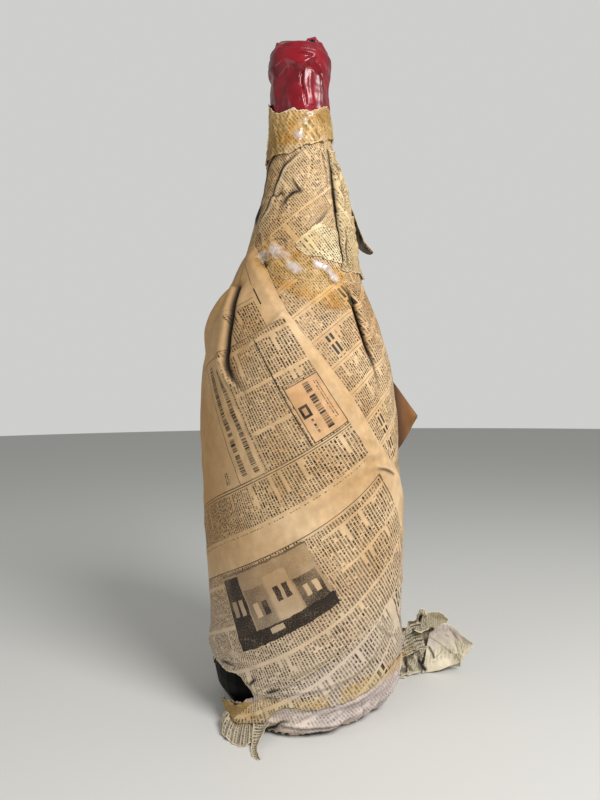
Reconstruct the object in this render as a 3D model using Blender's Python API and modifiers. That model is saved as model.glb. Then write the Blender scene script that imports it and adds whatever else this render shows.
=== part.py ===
"""A very large wine bottle, corked, dipped in red wax and wrapped in old newspaper and clear tape.

Metres, +Z up. The origin is the centre of the paper folded under the bottle, on the surface it stands on.
The front of the wrapping faces -Y. A bearing is an angle round the bottle in degrees, 0 at the front and
positive to the right (+X).
"""

import math

import bmesh
import bpy
from mathutils import Vector, noise

# Glass
GLASS_HEIGHT = 0.677
BODY_RADIUS = 0.097
WALL = 0.006
HEEL_ROUND = 0.036
NECK_LENGTH = 0.077
SHOULDER_LENGTH = 0.330
NECK_RADIUS = 0.0276
LIP_RADIUS = 0.031
LIP_DEPTH = 0.021
LIP_ROUND = 0.003
LIP_STEP = 0.004
BORE_RADIUS = 0.019
BORE_RUN = 0.010
BORE_BELOW_CORK = 0.008
PUNT_DEPTH = 0.046
PUNT_RADIUS = 0.052
RIM_LIFT = 0.0012
FOOT_PAPER = 0.0008
FOOT_PAPER_MARGIN = 0.003

# Contents and closure
FILL_DEPTH = 0.101
CORK_LENGTH = 0.060
CORK_SUNK = 0.002
CORK_BEVEL = 0.001
WAX_SKIN = 0.002
WAX_LIP_SKIN = 0.0027
WAX_OVER_MOUTH = 0.0100
WAX_DOME_BELOW_MOUTH = 0.0075
WAX_SPLIT_BELOW_MOUTH = 0.0095
WAX_BELOW_NECK = 0.002
WAX_LUMP_RADIUS = 0.0065
WAX_LUMP_OUT = 0.0135
WAX_LUMP_BEARING = 62.0
WAX_CRATER_RADIUS = 0.0032

# Paper and tape, whose thickness stands for several crumpled layers
GAP = 0.0003
PAPER = 0.0005
TAPE = 0.0003
BOARD = 0.0008
LAYER = PAPER + GAP
LOOSE = 0.010
MERGE = 0.00001
FACETS = 40
FACET = 360.0 / FACETS

# Lower and upper edge of each sheet, as shares of the way up the bottle
BODY_SHARE, NECK_SHARE = 0.3988, 0.8863
INNER_HIGH_SHARE = 0.3870
LOWER_HIGH_SHARE = 0.1832
SIDE_SHARES = (0.3028, 0.6514)
SHOULDER_WRAP_SHARES = (0.6263, 0.8685)
COLLAR_SHARES = (0.8434, 0.9188)
NECK_TAPE_SHARES = (0.8612, 0.9055)
RIDGE_SHARES = (0.6588, 0.8360)
PATCH_SHARES = (0.6603, 0.7179)
FLAP_SHARES = (0.6913, 0.7297)
CORNER_SHARES = (0.3693, 0.4874)
SKIRT_LOW = 0.0030
SKIRT_HIGH = 0.0330
FOOT_TAPE_WIDTH = 0.020
SHOULDER_TAPE_WIDTH = 0.020
SEAM_BEARING = -22.0

# Where each sheet starts and stops round the bottle, in bearings
INNER_START, INNER_STOP = -180.0, 207.0
SIDE_START, SIDE_STOP = 0.0, 360.0
OUTER_START, OUTER_STOP = -198.0, 171.0
LOWER_START, LOWER_STOP = -189.0, 162.0
UPPER_START, UPPER_STOP = -180.0, 180.0
SKIRT_START, SKIRT_STOP = -180.0, 180.0
NECK_TAPE_START, NECK_TAPE_STOP = -135.0, 225.0
SHOULDER_TAPE_START, SHOULDER_TAPE_STOP = -27.0, 36.0
FOOT_TAPE_START, FOOT_TAPE_STOP = -27.0, 63.0
PATCH_START, PATCH_STOP = -9.0, 27.0
RIDGE_START, RIDGE_STOP = 36.0, 108.0

# The skirt's lower edge, which stands out in front and is flicked out in a ruffle low on the left
FLARE_OUT = 0.018
FLARE_BEARING = -8.0
FLARE_SPREAD = 38.0
RUFFLE_OUT = 0.032
RUFFLE_HEIGHT = 0.026
RUFFLE_BEARING = -41.0
RUFFLE_SPREAD = 14.0
HANG_INSET = 0.018
HANG_RISE_SHARE = 0.55
TEAR = 0.0025
TEAR_RUN = 13.0

# Loose ends
RIDGE_OUT = 0.0075
FLAP_LENGTH = 0.020
FLAP_DROOP = 0.006
FLAP_BEARING = 90.0
FLAP_TIP_SHARE = 0.2
TAPER_SHARE = 0.9
CORNER_OUT = 0.025
CORNER_BEARING = 99.0
CORNER_TIP_SHARE = 0.5
STRIP_BEARING = -27.0
STRIP_LENGTH = 0.030
STRIP_WIDTH = 0.016
STRIP_TIP_WIDTH = 0.003
TAIL_LENGTH = 0.080
TAIL_DEPTH = 0.052
TAIL_HEIGHT = 0.068
TAIL_BEARING = 105.0
TAIL_SEED = 7.3
TAIL_FOLDS = 1.7
TAIL_RING_SHARE = 0.02
FOLD_SHARE = 0.20
CRUMPLE_SHARE = 0.55

# The shoulder's outline: share of the way up it, and share of the drop from body to neck
SHOULDER_SHARES = (
    (0.000, 0.000), (0.091, 0.012), (0.212, 0.090), (0.273, 0.150), (0.333, 0.235), (0.394, 0.338),
    (0.448, 0.440), (0.497, 0.532), (0.545, 0.614), (0.597, 0.690), (0.648, 0.752), (0.752, 0.848),
    (0.858, 0.922), (1.000, 1.000),
)
# The punt's outline: share of its radius, and share of its depth
PUNT_SHARES = ((1.00, 0.10), (0.86, 0.42), (0.62, 0.76), (0.32, 0.95), (0.00, 1.00))

# How a sheet fits: share of the way up the bottle, sheets beneath it, and its slack at the front, right, back
# and left as shares of LOOSE
SKIRT_FIT_SHARES = ((0.0, 0.0, 0.06, 0.06, 0.06, 0.06), (1.0, 0.0, 0.06, 0.06, 0.06, 0.06))
LOWER_FIT_SHARES = ((0.0, 2.0, 0.00, 0.05, 0.00, 0.00), (1.0, 2.0, 0.00, 0.05, 0.00, 0.00))
SIDE_FIT_SHARES = (
    (0.300, 2.0, 0.02, 0.02, 0.05, 0.05), (0.440, 2.0, 0.05, 0.05, 0.10, 0.20),
    (0.500, 1.6, 0.06, 0.04, 0.20, 0.25), (0.580, 1.4, 0.08, 0.08, 0.25, 0.30),
    (0.652, 1.2, 0.04, 0.02, 0.10, 0.10),
)
OUTER_FIT_SHARES = (
    (0.060, 3.0, 0.00, 0.08, 0.05, 0.02), (0.150, 3.0, 0.06, 0.08, 0.10, 0.06),
    (0.206, 3.0, 0.20, 0.16, 0.20, 0.28), (0.295, 3.6, 0.28, 0.28, 0.30, 0.52),
    (0.398, 4.2, 0.30, 0.30, 0.35, 0.68), (0.451, 4.4, 0.30, 0.30, 0.50, 0.96),
    (0.501, 4.4, 0.30, 0.30, 0.75, 1.06), (0.550, 4.4, 0.34, 0.30, 1.10, 1.42),
    (0.587, 4.4, 0.36, 0.30, 1.20, 1.66), (0.619, 4.8, 0.34, 0.30, 1.10, 1.52),
    (0.637, 5.2, 0.30, 0.30, 0.80, 1.10), (0.664, 5.2, 0.36, 0.30, 0.60, 0.72),
    (0.700, 5.2, 0.40, 0.40, 0.60, 0.55),
)
UPPER_FIT_SHARES = (
    (0.610, 4.6, 0.06, 0.04, 0.22, 0.24), (0.652, 4.4, 0.08, 0.06, 0.18, 0.20),
    (0.676, 2.4, 0.18, 0.20, 0.20, 0.52), (0.700, 1.4, 0.22, 0.30, 0.24, 0.70),
    (0.727, 1.0, 0.20, 0.34, 0.20, 0.62), (0.752, 1.0, 0.18, 0.34, 0.20, 0.52),
    (0.777, 1.0, 0.16, 0.42, 0.20, 0.20), (0.802, 1.0, 0.12, 0.40, 0.20, 0.18),
    (0.829, 1.0, 0.10, 0.34, 0.18, 0.18), (0.855, 1.0, 0.08, 0.14, 0.12, 0.14),
    (0.870, 1.0, 0.08, 0.10, 0.10, 0.12),
)
COLLAR_FIT_SHARES = (
    (0.840, 3.0, 0.12, 0.28, 0.18, 0.20), (0.870, 3.0, 0.10, 0.14, 0.14, 0.14),
    (0.920, 3.4, 0.06, 0.06, 0.10, 0.20),
)

# Sheet edges: bearing, and share of the way up the bottle, over the heel for the inner sheet
OUTER_TOP_SHARES = (
    (-198, 0.585), (-144, 0.622), (-99, 0.636), (-63, 0.668), (-45, 0.698), (-27, 0.664), (-9, 0.590),
    (9, 0.520), (27, 0.446), (45, 0.396), (72, 0.336), (108, 0.286), (171, 0.236),
)
OUTER_BOTTOM_SHARES = (
    (-198, 0.176), (-144, 0.110), (-90, 0.082), (-63, 0.080), (-45, 0.076), (-27, 0.076), (0, 0.100),
    (18, 0.124), (45, 0.156), (63, 0.172), (108, 0.176), (171, 0.178),
)
INNER_BOTTOM_SHARES = ((-81, 0.000), (-63, 0.029), (-45, 0.031), (-27, 0.016), (-9, 0.000))
SKIRT_TOP_SHARES = ((-72, 0.046), (-54, 0.026), (-36, 0.038), (-27, 0.046), (0, 0.047), (36, 0.048))
LOWER_BOTTOM_SHARES = (
    (-189, 0.058), (-72, 0.078), (-45, 0.072), (-30, 0.056), (-9, 0.054), (18, 0.062), (45, 0.070),
    (90, 0.066), (162, 0.060),
)
FOOT_TAPE_SHARES = ((-27, 0.028), (-18, 0.034), (0, 0.042), (18, 0.050), (36, 0.058), (63, 0.068))
SHOULDER_TAPE_SHARES = ((-27, 0.696), (-9, 0.668), (9, 0.648), (27, 0.636), (45, 0.628))

# The pleats of the large sheet and the side sheet: bearing, and share of the way up the bottle
LEFT_PLEAT_SHARES = ((-44, 0.622), (-49, 0.566), (-51, 0.524), (-44, 0.490), (-32, 0.452))
RIGHT_PLEAT_SHARES = ((34, 0.612), (40, 0.578), (47, 0.542), (56, 0.518))
PLEAT_WIDTH = 0.014
PLEAT_DEPTH = 0.0034

# Outline of the crumpled tail: height over its seat and half-depth, as shares, from the bottle outwards
TAIL_SHARES = (
    (0.00, 0.42, 0.30), (0.14, 0.72, 0.62), (0.30, 1.00, 0.92), (0.48, 0.94, 1.00),
    (0.66, 0.84, 0.92), (0.84, 0.66, 0.66), (1.00, 0.46, 0.30),
)
TAIL_LIFT_SHARES = (0.10, 0.03, 0.00, 0.00, 0.02, 0.08, 0.26)
STRIP_SHARES = ((0.00, 1.00), (0.35, 0.52), (0.70, 0.16), (1.00, 0.06))

COLOURS = {
    "green_glass": (0.010, 0.014, 0.008, 1.0),
    "wine": (0.060, 0.002, 0.008, 1.0),
    "cork": (0.420, 0.250, 0.130, 1.0),
    "sealing_wax": (0.300, 0.004, 0.010, 1.0),
    "newsprint": (0.560, 0.370, 0.190, 1.0),
    "pale_newsprint": (0.680, 0.500, 0.290, 1.0),
    "grey_newsprint": (0.440, 0.350, 0.300, 1.0),
    "kraft_board": (0.320, 0.150, 0.050, 1.0),
    "aged_tape": (0.600, 0.380, 0.120, 1.0),
}
ROUGHNESS = {"green_glass": 0.05, "wine": 0.02, "sealing_wax": 0.18, "aged_tape": 0.25}
PLAIN_ROUGHNESS = 0.85


def clear_scene():
    for thing in list(bpy.data.objects):
        bpy.data.objects.remove(thing)


def new_collection(name):
    made = bpy.data.collections.new(name)
    bpy.context.scene.collection.children.link(made)
    return made


def material(name):
    """One Principled material for each kind of stuff."""
    made = bpy.data.materials.get(name) or bpy.data.materials.new(name)
    made.use_nodes = True
    shader = made.node_tree.nodes["Principled BSDF"]
    shader.inputs["Base Color"].default_value = COLOURS[name]
    shader.inputs["Roughness"].default_value = ROUGHNESS.get(name, PLAIN_ROUGHNESS)
    shader.inputs["Metallic"].default_value = 0.0
    return made


def add(collection, name, mesh, stuff):
    made = bpy.data.objects.new(name, mesh)
    mesh.materials.append(material(stuff))
    collection.objects.link(made)
    return made


def between(rows, x):
    """The row of values at x from a table whose rows start with x, on smooth curves through its rows."""
    if x <= rows[0][0]:
        return list(rows[0][1:])
    if x >= rows[-1][0]:
        return list(rows[-1][1:])
    i = max(k for k in range(len(rows) - 1) if rows[k][0] <= x)
    a, b = rows[i], rows[i + 1]
    before, after = rows[max(i - 1, 0)], rows[min(i + 2, len(rows) - 1)]
    run = b[0] - a[0]
    t = (x - a[0]) / run
    values = []
    for k in range(1, len(a)):
        slope_a = (b[k] - before[k]) / (b[0] - before[0]) * run
        slope_b = (after[k] - a[k]) / (after[0] - a[0]) * run
        values.append(
            (2 * t**3 - 3 * t**2 + 1) * a[k] + (t**3 - 2 * t**2 + t) * slope_a
            + (3 * t**2 - 2 * t**3) * b[k] + (t**3 - t**2) * slope_b
        )
    return values


def at(radius, bearing, height):
    turn = math.radians(bearing)
    return Vector((radius * math.sin(turn), -radius * math.cos(turn), height))


# The glass stands on the folded paper
FOOT = FOOT_PAPER + GAP
MOUTH = GLASS_HEIGHT
LIP_UNDER = MOUTH - LIP_DEPTH
NECK_FOOT = MOUTH - NECK_LENGTH
SHOULDER_FOOT = NECK_FOOT - SHOULDER_LENGTH
LANDMARKS = ((0.0, 0.0), (BODY_SHARE, SHOULDER_FOOT), (NECK_SHARE, NECK_FOOT), (1.0, MOUTH))


def height_at(share):
    """The height of a share of the way up the bottle, which keeps its place on the body, shoulder or neck."""
    for (share_a, height_a), (share_b, height_b) in zip(LANDMARKS, LANDMARKS[1:]):
        if share <= share_b:
            break
    return height_a + (height_b - height_a) * (share - share_a) / (share_b - share_a)


def share_at(height):
    for (share_a, height_a), (share_b, height_b) in zip(LANDMARKS, LANDMARKS[1:]):
        if height <= height_b:
            break
    return share_a + (share_b - share_a) * (height - height_a) / (height_b - height_a)


def glass_radius(height):
    """The outside of the glass, from its heel to the underside of its lip."""
    over_foot = height - FOOT
    if over_foot < HEEL_ROUND:
        drop = HEEL_ROUND - max(over_foot, 0.0)
        return BODY_RADIUS - HEEL_ROUND + math.sqrt(HEEL_ROUND**2 - drop**2)
    if height <= SHOULDER_FOOT:
        return BODY_RADIUS
    if height >= NECK_FOOT:
        return NECK_RADIUS
    share = (height - SHOULDER_FOOT) / (NECK_FOOT - SHOULDER_FOOT)
    return BODY_RADIUS - between(SHOULDER_SHARES, share)[0] * (BODY_RADIUS - NECK_RADIUS)


def both(shares):
    """The two heights of a sheet's straight edges."""
    return height_at(shares[0]), height_at(shares[1])


def steps(low, high, count):
    return [low + (high - low) * k / count for k in range(count + 1)]


def wall_heights():
    """Heights at which the side of the glass is drawn, closer together round the heel and the shoulder."""
    heel = [FOOT + HEEL_ROUND * (1 - math.cos(turn)) for turn in steps(0.0, math.pi / 2, 4)]
    body = steps(FOOT + HEEL_ROUND, SHOULDER_FOOT, 2)[1:]
    shoulder = steps(SHOULDER_FOOT, NECK_FOOT, 13)[1:]
    return heel + body + shoulder


def lip_outline():
    """From the inner edge of the mouth over the lip to the neck, as radius and height."""
    rounding = [
        (LIP_RADIUS - LIP_ROUND + LIP_ROUND * math.sin(turn), MOUTH - LIP_ROUND + LIP_ROUND * math.cos(turn))
        for turn in steps(0.0, math.pi / 2, 2)
    ]
    return rounding + [(LIP_RADIUS, LIP_UNDER), (NECK_RADIUS, LIP_UNDER - LIP_STEP)]


def punt_outline(lift, widen):
    """The hollow under the bottle, from its rim to its middle, or what stands over it, higher and wider."""
    return [
        (PUNT_RADIUS * across + widen if across else 0.0, FOOT + PUNT_DEPTH * up + lift)
        for across, up in PUNT_SHARES
    ]


CORK_TOP = MOUTH - CORK_SUNK
CORK_BOTTOM = CORK_TOP - CORK_LENGTH
BORE_BOTTOM = CORK_BOTTOM - BORE_BELOW_CORK
FILL = MOUTH - FILL_DEPTH


def inside_outline(inset):
    """The inside of the glass below the cork, from the top down, as radius and height."""
    side = [
        (glass_radius(height) - WALL - inset, height)
        for height in reversed(wall_heights())
        if FOOT + HEEL_ROUND + WALL < height < BORE_BOTTOM - BORE_RUN
    ]
    round_radius = HEEL_ROUND - WALL - inset
    middle = (BODY_RADIUS - HEEL_ROUND, FOOT + HEEL_ROUND)
    corner = [
        (middle[0] + round_radius * math.cos(turn), middle[1] - round_radius * math.sin(turn))
        for turn in steps(0.0, math.pi / 2, 3)
    ]
    return side + corner + punt_outline(WALL + inset, inset)


def turned(collection, name, outline, stuff, closed=False):
    """Turns an outline, which runs down its outer side, about the bottle's axis."""
    mesh = bpy.data.meshes.new(name)
    edges = [(k, k + 1) for k in range(len(outline) - 1)]
    if closed:
        edges.append((len(outline) - 1, 0))
    mesh.from_pydata([at(radius, 0.0, height) for radius, height in outline], edges, [])
    made = add(collection, name, mesh, stuff)
    screw = made.modifiers.new("turn", "SCREW")
    screw.steps = FACETS
    screw.render_steps = FACETS
    screw.use_merge_vertices = True
    screw.merge_threshold = MERGE
    screw.use_smooth_shade = True
    return made


def glass_bottle(collection):
    inner = inside_outline(0.0)
    neck_inside = [(BORE_RADIUS, MOUTH), (BORE_RADIUS, BORE_BOTTOM)]
    outer = lip_outline() + [(glass_radius(height), height) for height in reversed(wall_heights())]
    under = [((BODY_RADIUS - HEEL_ROUND + PUNT_RADIUS) / 2, FOOT + RIM_LIFT)]
    outline = list(reversed(neck_inside + inner)) + outer + under + punt_outline(0.0, 0.0)
    turned(collection, "glass_bottle", outline, "green_glass")


def wine(collection):
    side = [point for point in inside_outline(GAP) if point[1] < FILL - GAP]
    rim = (glass_radius(FILL) - WALL - GAP, FILL)
    turned(collection, "wine", [(0.0, FILL), rim] + side, "wine")


def cork(collection):
    radius = BORE_RADIUS - GAP
    outline = [
        (0.0, CORK_TOP), (radius - CORK_BEVEL, CORK_TOP), (radius, CORK_TOP - CORK_BEVEL),
        (radius, CORK_BOTTOM + CORK_BEVEL), (radius - CORK_BEVEL, CORK_BOTTOM), (0.0, CORK_BOTTOM),
    ]
    turned(collection, "cork", outline, "cork")


WAX_SPLIT = MOUTH - WAX_SPLIT_BELOW_MOUTH
WAX_LOW = NECK_FOOT - WAX_BELOW_NECK
COLLAR_HIGH = height_at(COLLAR_SHARES[1])


def wax_sleeve(collection):
    """The wax left on the neck: it fills in under the lip and runs down behind the paper."""
    lip_outside = LIP_RADIUS + WAX_LIP_SKIN
    neck_outside = NECK_RADIUS + GAP + WAX_SKIN
    under = LIP_UNDER - LIP_STEP
    outer = [
        (lip_outside, WAX_SPLIT), (lip_outside, LIP_UNDER), (neck_outside + WAX_SKIN / 2, under),
        (neck_outside, under - LIP_STEP), (neck_outside, COLLAR_HIGH), (neck_outside, NECK_FOOT),
        (glass_radius(WAX_LOW) + GAP + WAX_SKIN / 2, WAX_LOW),
    ]
    inner = [
        (glass_radius(WAX_LOW) + GAP, WAX_LOW), (NECK_RADIUS + GAP, NECK_FOOT),
        (NECK_RADIUS + GAP, under - GAP), (LIP_RADIUS + GAP, LIP_UNDER - GAP), (LIP_RADIUS + GAP, WAX_SPLIT),
    ]
    turned(collection, "wax_sleeve", outer + inner, "sealing_wax", closed=True)


def wax_crown(collection, cutters):
    """The wax over the mouth, which breaks off round the lip. One side has a lump with a burst bubble."""
    lip_outside = LIP_RADIUS + WAX_LIP_SKIN
    top = MOUTH + WAX_OVER_MOUTH
    rise = WAX_OVER_MOUTH + WAX_DOME_BELOW_MOUTH
    dome = [
        (lip_outside * math.sin(turn), top - rise + rise * math.cos(turn))
        for turn in steps(0.0, math.pi / 2, 6)
    ]
    floor = MOUTH + GAP
    middle = (LIP_RADIUS - LIP_ROUND, MOUTH - LIP_ROUND)
    rounding = [
        (middle[0] + (LIP_ROUND + GAP) * math.cos(turn), middle[1] + (LIP_ROUND + GAP) * math.sin(turn))
        for turn in steps(0.0, math.pi / 2, 2)
    ]
    under = [(lip_outside, WAX_SPLIT + GAP), (LIP_RADIUS + GAP, WAX_SPLIT + GAP)] + rounding + [(0.0, floor)]
    crown = turned(collection, "wax_crown", dome + under, "sealing_wax")
    lump_middle = at(WAX_LUMP_OUT, WAX_LUMP_BEARING, top - WAX_LUMP_RADIUS / 4)
    crater_middle = lump_middle + at(WAX_CRATER_RADIUS / 2, 0.0, WAX_LUMP_RADIUS)
    for kind, middle, radius in (
        ("UNION", lump_middle, WAX_LUMP_RADIUS),
        ("DIFFERENCE", crater_middle, WAX_CRATER_RADIUS),
    ):
        mesh = bpy.data.meshes.new("wax_" + kind.lower())
        ball = bmesh.new()
        bmesh.ops.create_uvsphere(ball, u_segments=12, v_segments=8, radius=radius)
        ball.to_mesh(mesh)
        ball.free()
        cutter = add(cutters, mesh.name, mesh, "sealing_wax")
        cutter.location = middle
        cutter.hide_render = True
        cutter.display_type = "WIRE"
        cut = crown.modifiers.new(kind.lower(), "BOOLEAN")
        cut.operation = kind
        cut.object = cutter
        cut.solver = "EXACT"


def slack(fit, bearing, height):
    """How far a sheet stands off the glass at a bearing and height."""
    layers, front, right, back, left = between(fit, share_at(height))
    turn = math.radians(bearing)
    ahead, aside = math.cos(turn), math.sin(turn)
    loose = (front if ahead > 0 else back) * ahead**2 + (right if aside > 0 else left) * aside**2
    return GAP + layers * LAYER + loose * LOOSE


def crease(shares, bearing, height, width):
    """From 1 on the line of a fold to 0 at its width away."""
    nearest = width
    around = math.radians(1.0) * glass_radius(height)
    for (bearing_a, share_a), (bearing_b, share_b) in zip(shares, shares[1:]):
        start = Vector((bearing_a * around, height_at(share_a)))
        run = Vector((bearing_b * around, height_at(share_b))) - start
        point = Vector((bearing * around, height)) - start
        along = min(max(point.dot(run) / run.length_squared, 0.0), 1.0)
        nearest = min(nearest, (point - run * along).length)
    return (1 - (nearest / width) ** 2) ** 2


def sheet(collection, name, start, stop, rows, edges, radius, stuff, thickness=PAPER, step=FACET):
    """A flat grid rolled round the bottle between two bearings and two edges, then given its thickness."""
    mesh = bpy.data.meshes.new(name)
    grid = bmesh.new()
    columns = round((stop - start) / step)
    bmesh.ops.create_grid(grid, x_segments=columns, y_segments=rows, size=1.0)
    for vert in grid.verts:
        bearing = start + (stop - start) * (vert.co.x + 1) / 2
        low, high = edges(bearing)
        height = low + (high - low) * (vert.co.y + 1) / 2
        vert.co = at(radius(bearing, height), bearing, height)
    grid.to_mesh(mesh)
    grid.free()
    mesh.shade_smooth()
    made = add(collection, name, mesh, stuff)
    thicken = made.modifiers.new("thickness", "SOLIDIFY")
    thicken.thickness = thickness
    thicken.offset = 1.0
    return made


def torn(bearing, depth):
    """A torn edge's height over its lowest point."""
    return depth * (1 + noise.noise(Vector((bearing / TEAR_RUN, 0.0, depth)))) / 2


def spiral(start, bearing):
    """A sheet that goes round once climbs by one layer to pass over its own start."""
    return LAYER * (bearing - start) / 360.0


def inner_wrap(collection):
    def edges(bearing):
        low = FOOT + HEEL_ROUND + height_at(between(INNER_BOTTOM_SHARES, bearing)[0])
        return low, height_at(INNER_HIGH_SHARE)

    def radius(bearing, height):
        return glass_radius(height) + GAP + spiral(INNER_START, bearing)

    sheet(collection, "inner_wrap", INNER_START, INNER_STOP, 4, edges, radius, "newsprint")


def side_radius(bearing, height):
    fit = slack(SIDE_FIT_SHARES, bearing, height) + spiral(SIDE_START, bearing)
    ridge = crease(RIGHT_PLEAT_SHARES, bearing - FACET, height, PLEAT_WIDTH)
    return glass_radius(height) + fit + PLEAT_DEPTH * ridge


def side_wrap(collection):
    """The sheet that shows high on the right, with a pleat that runs down from the tape."""

    def edges(bearing):
        return both(SIDE_SHARES)

    sheet(collection, "side_wrap", SIDE_START, SIDE_STOP, 9, edges, side_radius, "newsprint")


def outer_radius(bearing, height):
    """The large sheet stands off the bottle in a puff high on the left, behind its pleat."""
    fit = slack(OUTER_FIT_SHARES, bearing, height) + spiral(OUTER_START, bearing)
    ridge = crease(LEFT_PLEAT_SHARES, bearing + FACET, height, PLEAT_WIDTH)
    return glass_radius(height) + fit + PLEAT_DEPTH * ridge


def outer_edges(bearing):
    low = height_at(between(OUTER_BOTTOM_SHARES, bearing)[0])
    high = height_at(between(OUTER_TOP_SHARES, bearing)[0])
    return low, high


def outer_wrap(collection):
    sheet(collection, "outer_wrap", OUTER_START, OUTER_STOP, 13, outer_edges, outer_radius, "newsprint")


def lower_radius(bearing, height):
    return glass_radius(height) + slack(LOWER_FIT_SHARES, bearing, height)


def lower_wrap(collection):
    def edges(bearing):
        low = height_at(between(LOWER_BOTTOM_SHARES, bearing)[0])
        return low, min(height_at(LOWER_HIGH_SHARE), outer_edges(bearing)[0] + FOOT_TAPE_WIDTH)

    sheet(collection, "lower_wrap", LOWER_START, LOWER_STOP, 3, edges, lower_radius, "newsprint")


def upper_radius(bearing, height):
    return glass_radius(height) + slack(UPPER_FIT_SHARES, bearing, height) + spiral(UPPER_START, bearing)


def shoulder_wrap(collection):
    def edges(bearing):
        return both(SHOULDER_WRAP_SHARES)

    sheet(collection, "shoulder_wrap", UPPER_START, UPPER_STOP, 10, edges, upper_radius, "newsprint")


def collar_radius(bearing, height):
    return glass_radius(height) + slack(COLLAR_FIT_SHARES, bearing, height) + spiral(UPPER_START, bearing)


def neck_collar(collection):
    def edges(bearing):
        low, high = both(COLLAR_SHARES)
        return low, high - torn(bearing, TEAR)

    sheet(collection, "neck_collar", UPPER_START, UPPER_STOP, 4, edges, collar_radius, "pale_newsprint")


def neck_tape(collection):
    def edges(bearing):
        return both(NECK_TAPE_SHARES)

    def radius(bearing, height):
        return collar_radius(bearing, height) + LAYER + GAP

    sheet(collection, "neck_tape", NECK_TAPE_START, NECK_TAPE_STOP, 3, edges, radius, "aged_tape", TAPE)


def ridge_radius(bearing, height):
    across = math.sin(math.pi * (bearing - RIDGE_START) / (RIDGE_STOP - RIDGE_START))
    low, high = both(RIDGE_SHARES)
    along = math.sin(math.pi * (height - low) / (high - low))
    return upper_radius(bearing, height) + LAYER + RIDGE_OUT * across**2 * max(along, 0.0) ** 0.5


def neck_ridge(collection):
    """A long fold of paper standing up on the right of the neck."""

    def edges(bearing):
        return both(RIDGE_SHARES)

    sheet(collection, "neck_ridge", RIDGE_START, RIDGE_STOP, 8, edges, ridge_radius, "newsprint")


def shoulder_patch(collection):
    def radius(bearing, height):
        return upper_radius(bearing, height) + LAYER

    def edges(bearing):
        low, high = both(PATCH_SHARES)
        rise = (high - low) / 4 * math.sin(math.radians(bearing * 4))
        return low + rise, high + rise

    sheet(collection, "shoulder_patch", PATCH_START, PATCH_STOP, 3, edges, radius, "pale_newsprint")


def shoulder_tape(collection):
    """A strip of tape that holds the neck's paper to the large sheet."""

    def edges(bearing):
        middle = height_at(between(SHOULDER_TAPE_SHARES, bearing)[0])
        return middle - SHOULDER_TAPE_WIDTH / 2, middle + SHOULDER_TAPE_WIDTH / 2

    def radius(bearing, height):
        beneath = upper_radius(bearing, height)
        if bearing < SEAM_BEARING:
            beneath = max(beneath, outer_radius(bearing, height))
        return beneath + 2 * LAYER

    sheet(
        collection, "shoulder_tape", SHOULDER_TAPE_START, SHOULDER_TAPE_STOP, 2, edges, radius, "aged_tape",
        TAPE,
    )


def foot_tape(collection):
    """Yellowed tape over the join of the lowest sheets."""

    def edges(bearing):
        low = height_at(between(FOOT_TAPE_SHARES, bearing)[0])
        return low, low + FOOT_TAPE_WIDTH

    def radius(bearing, height):
        return max(lower_radius(bearing, height), skirt_radius(bearing, height) + GAP) + LAYER + GAP

    sheet(collection, "foot_tape", FOOT_TAPE_START, FOOT_TAPE_STOP, 4, edges, radius, "aged_tape", TAPE)


def ruffle(bearing, height):
    """How far the skirt's lower edge stands out beyond the round of the glass's heel."""
    flare = FLARE_OUT * math.exp(-(((bearing - FLARE_BEARING) / FLARE_SPREAD) ** 2))
    flick = RUFFLE_OUT * math.exp(-(((bearing - RUFFLE_BEARING) / RUFFLE_SPREAD) ** 2))
    drop = max(1.0 - height / RUFFLE_HEIGHT, 0.0)
    return (flare + flick) * drop**2


def skirt_radius(bearing, height):
    """Under the widest part of the heel the skirt hangs free of the glass."""
    fit = slack(SKIRT_FIT_SHARES, bearing, height) + spiral(SKIRT_START, bearing)
    return max(glass_radius(height), BODY_RADIUS - HANG_INSET + HANG_RISE_SHARE * height) + fit + ruffle(bearing, height)


def foot_skirt(collection):
    def edges(bearing):
        high = height_at(between(SKIRT_TOP_SHARES, bearing)[0])
        return SKIRT_LOW + torn(bearing, TEAR), min(SKIRT_HIGH, high)

    sheet(collection, "foot_skirt", SKIRT_START, SKIRT_STOP, 6, edges, skirt_radius, "grey_newsprint")


def foot_fold(collection):
    """The paper folded flat under the bottle, on which the glass stands."""
    radius = BODY_RADIUS - HEEL_ROUND + FOOT_PAPER_MARGIN
    outline = [(0.0, FOOT_PAPER), (radius, FOOT_PAPER), (radius, 0.0), (0.0, 0.0)]
    turned(collection, "foot_fold", outline, "grey_newsprint")


def loose_sheet(collection, name, rows, columns, place, stuff, thickness):
    """A small free piece: a grid whose points place() sets from their shares along and across it."""
    mesh = bpy.data.meshes.new(name)
    grid = bmesh.new()
    bmesh.ops.create_grid(grid, x_segments=columns, y_segments=rows, size=1.0)
    for vert in grid.verts:
        vert.co = place((vert.co.x + 1) / 2, (vert.co.y + 1) / 2)
    grid.to_mesh(mesh)
    grid.free()
    made = add(collection, name, mesh, stuff)
    thicken = made.modifiers.new("thickness", "SOLIDIFY")
    thicken.thickness = thickness
    thicken.offset = 1.0
    return made


def neck_flap(collection):
    """A torn point of paper that sticks out from the foot of the ridge."""

    def place(along, across):
        share = across + (FLAP_TIP_SHARE - across) * TAPER_SHARE * along
        low, high = both(FLAP_SHARES)
        height = low + (high - low) * share
        foot = at(ridge_radius(FLAP_BEARING, height) + 2 * LAYER, FLAP_BEARING, height)
        return foot + Vector((FLAP_LENGTH * along, 0.0, -FLAP_DROOP * along**2))

    loose_sheet(collection, "neck_flap", 4, 4, place, "newsprint", PAPER)


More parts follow.
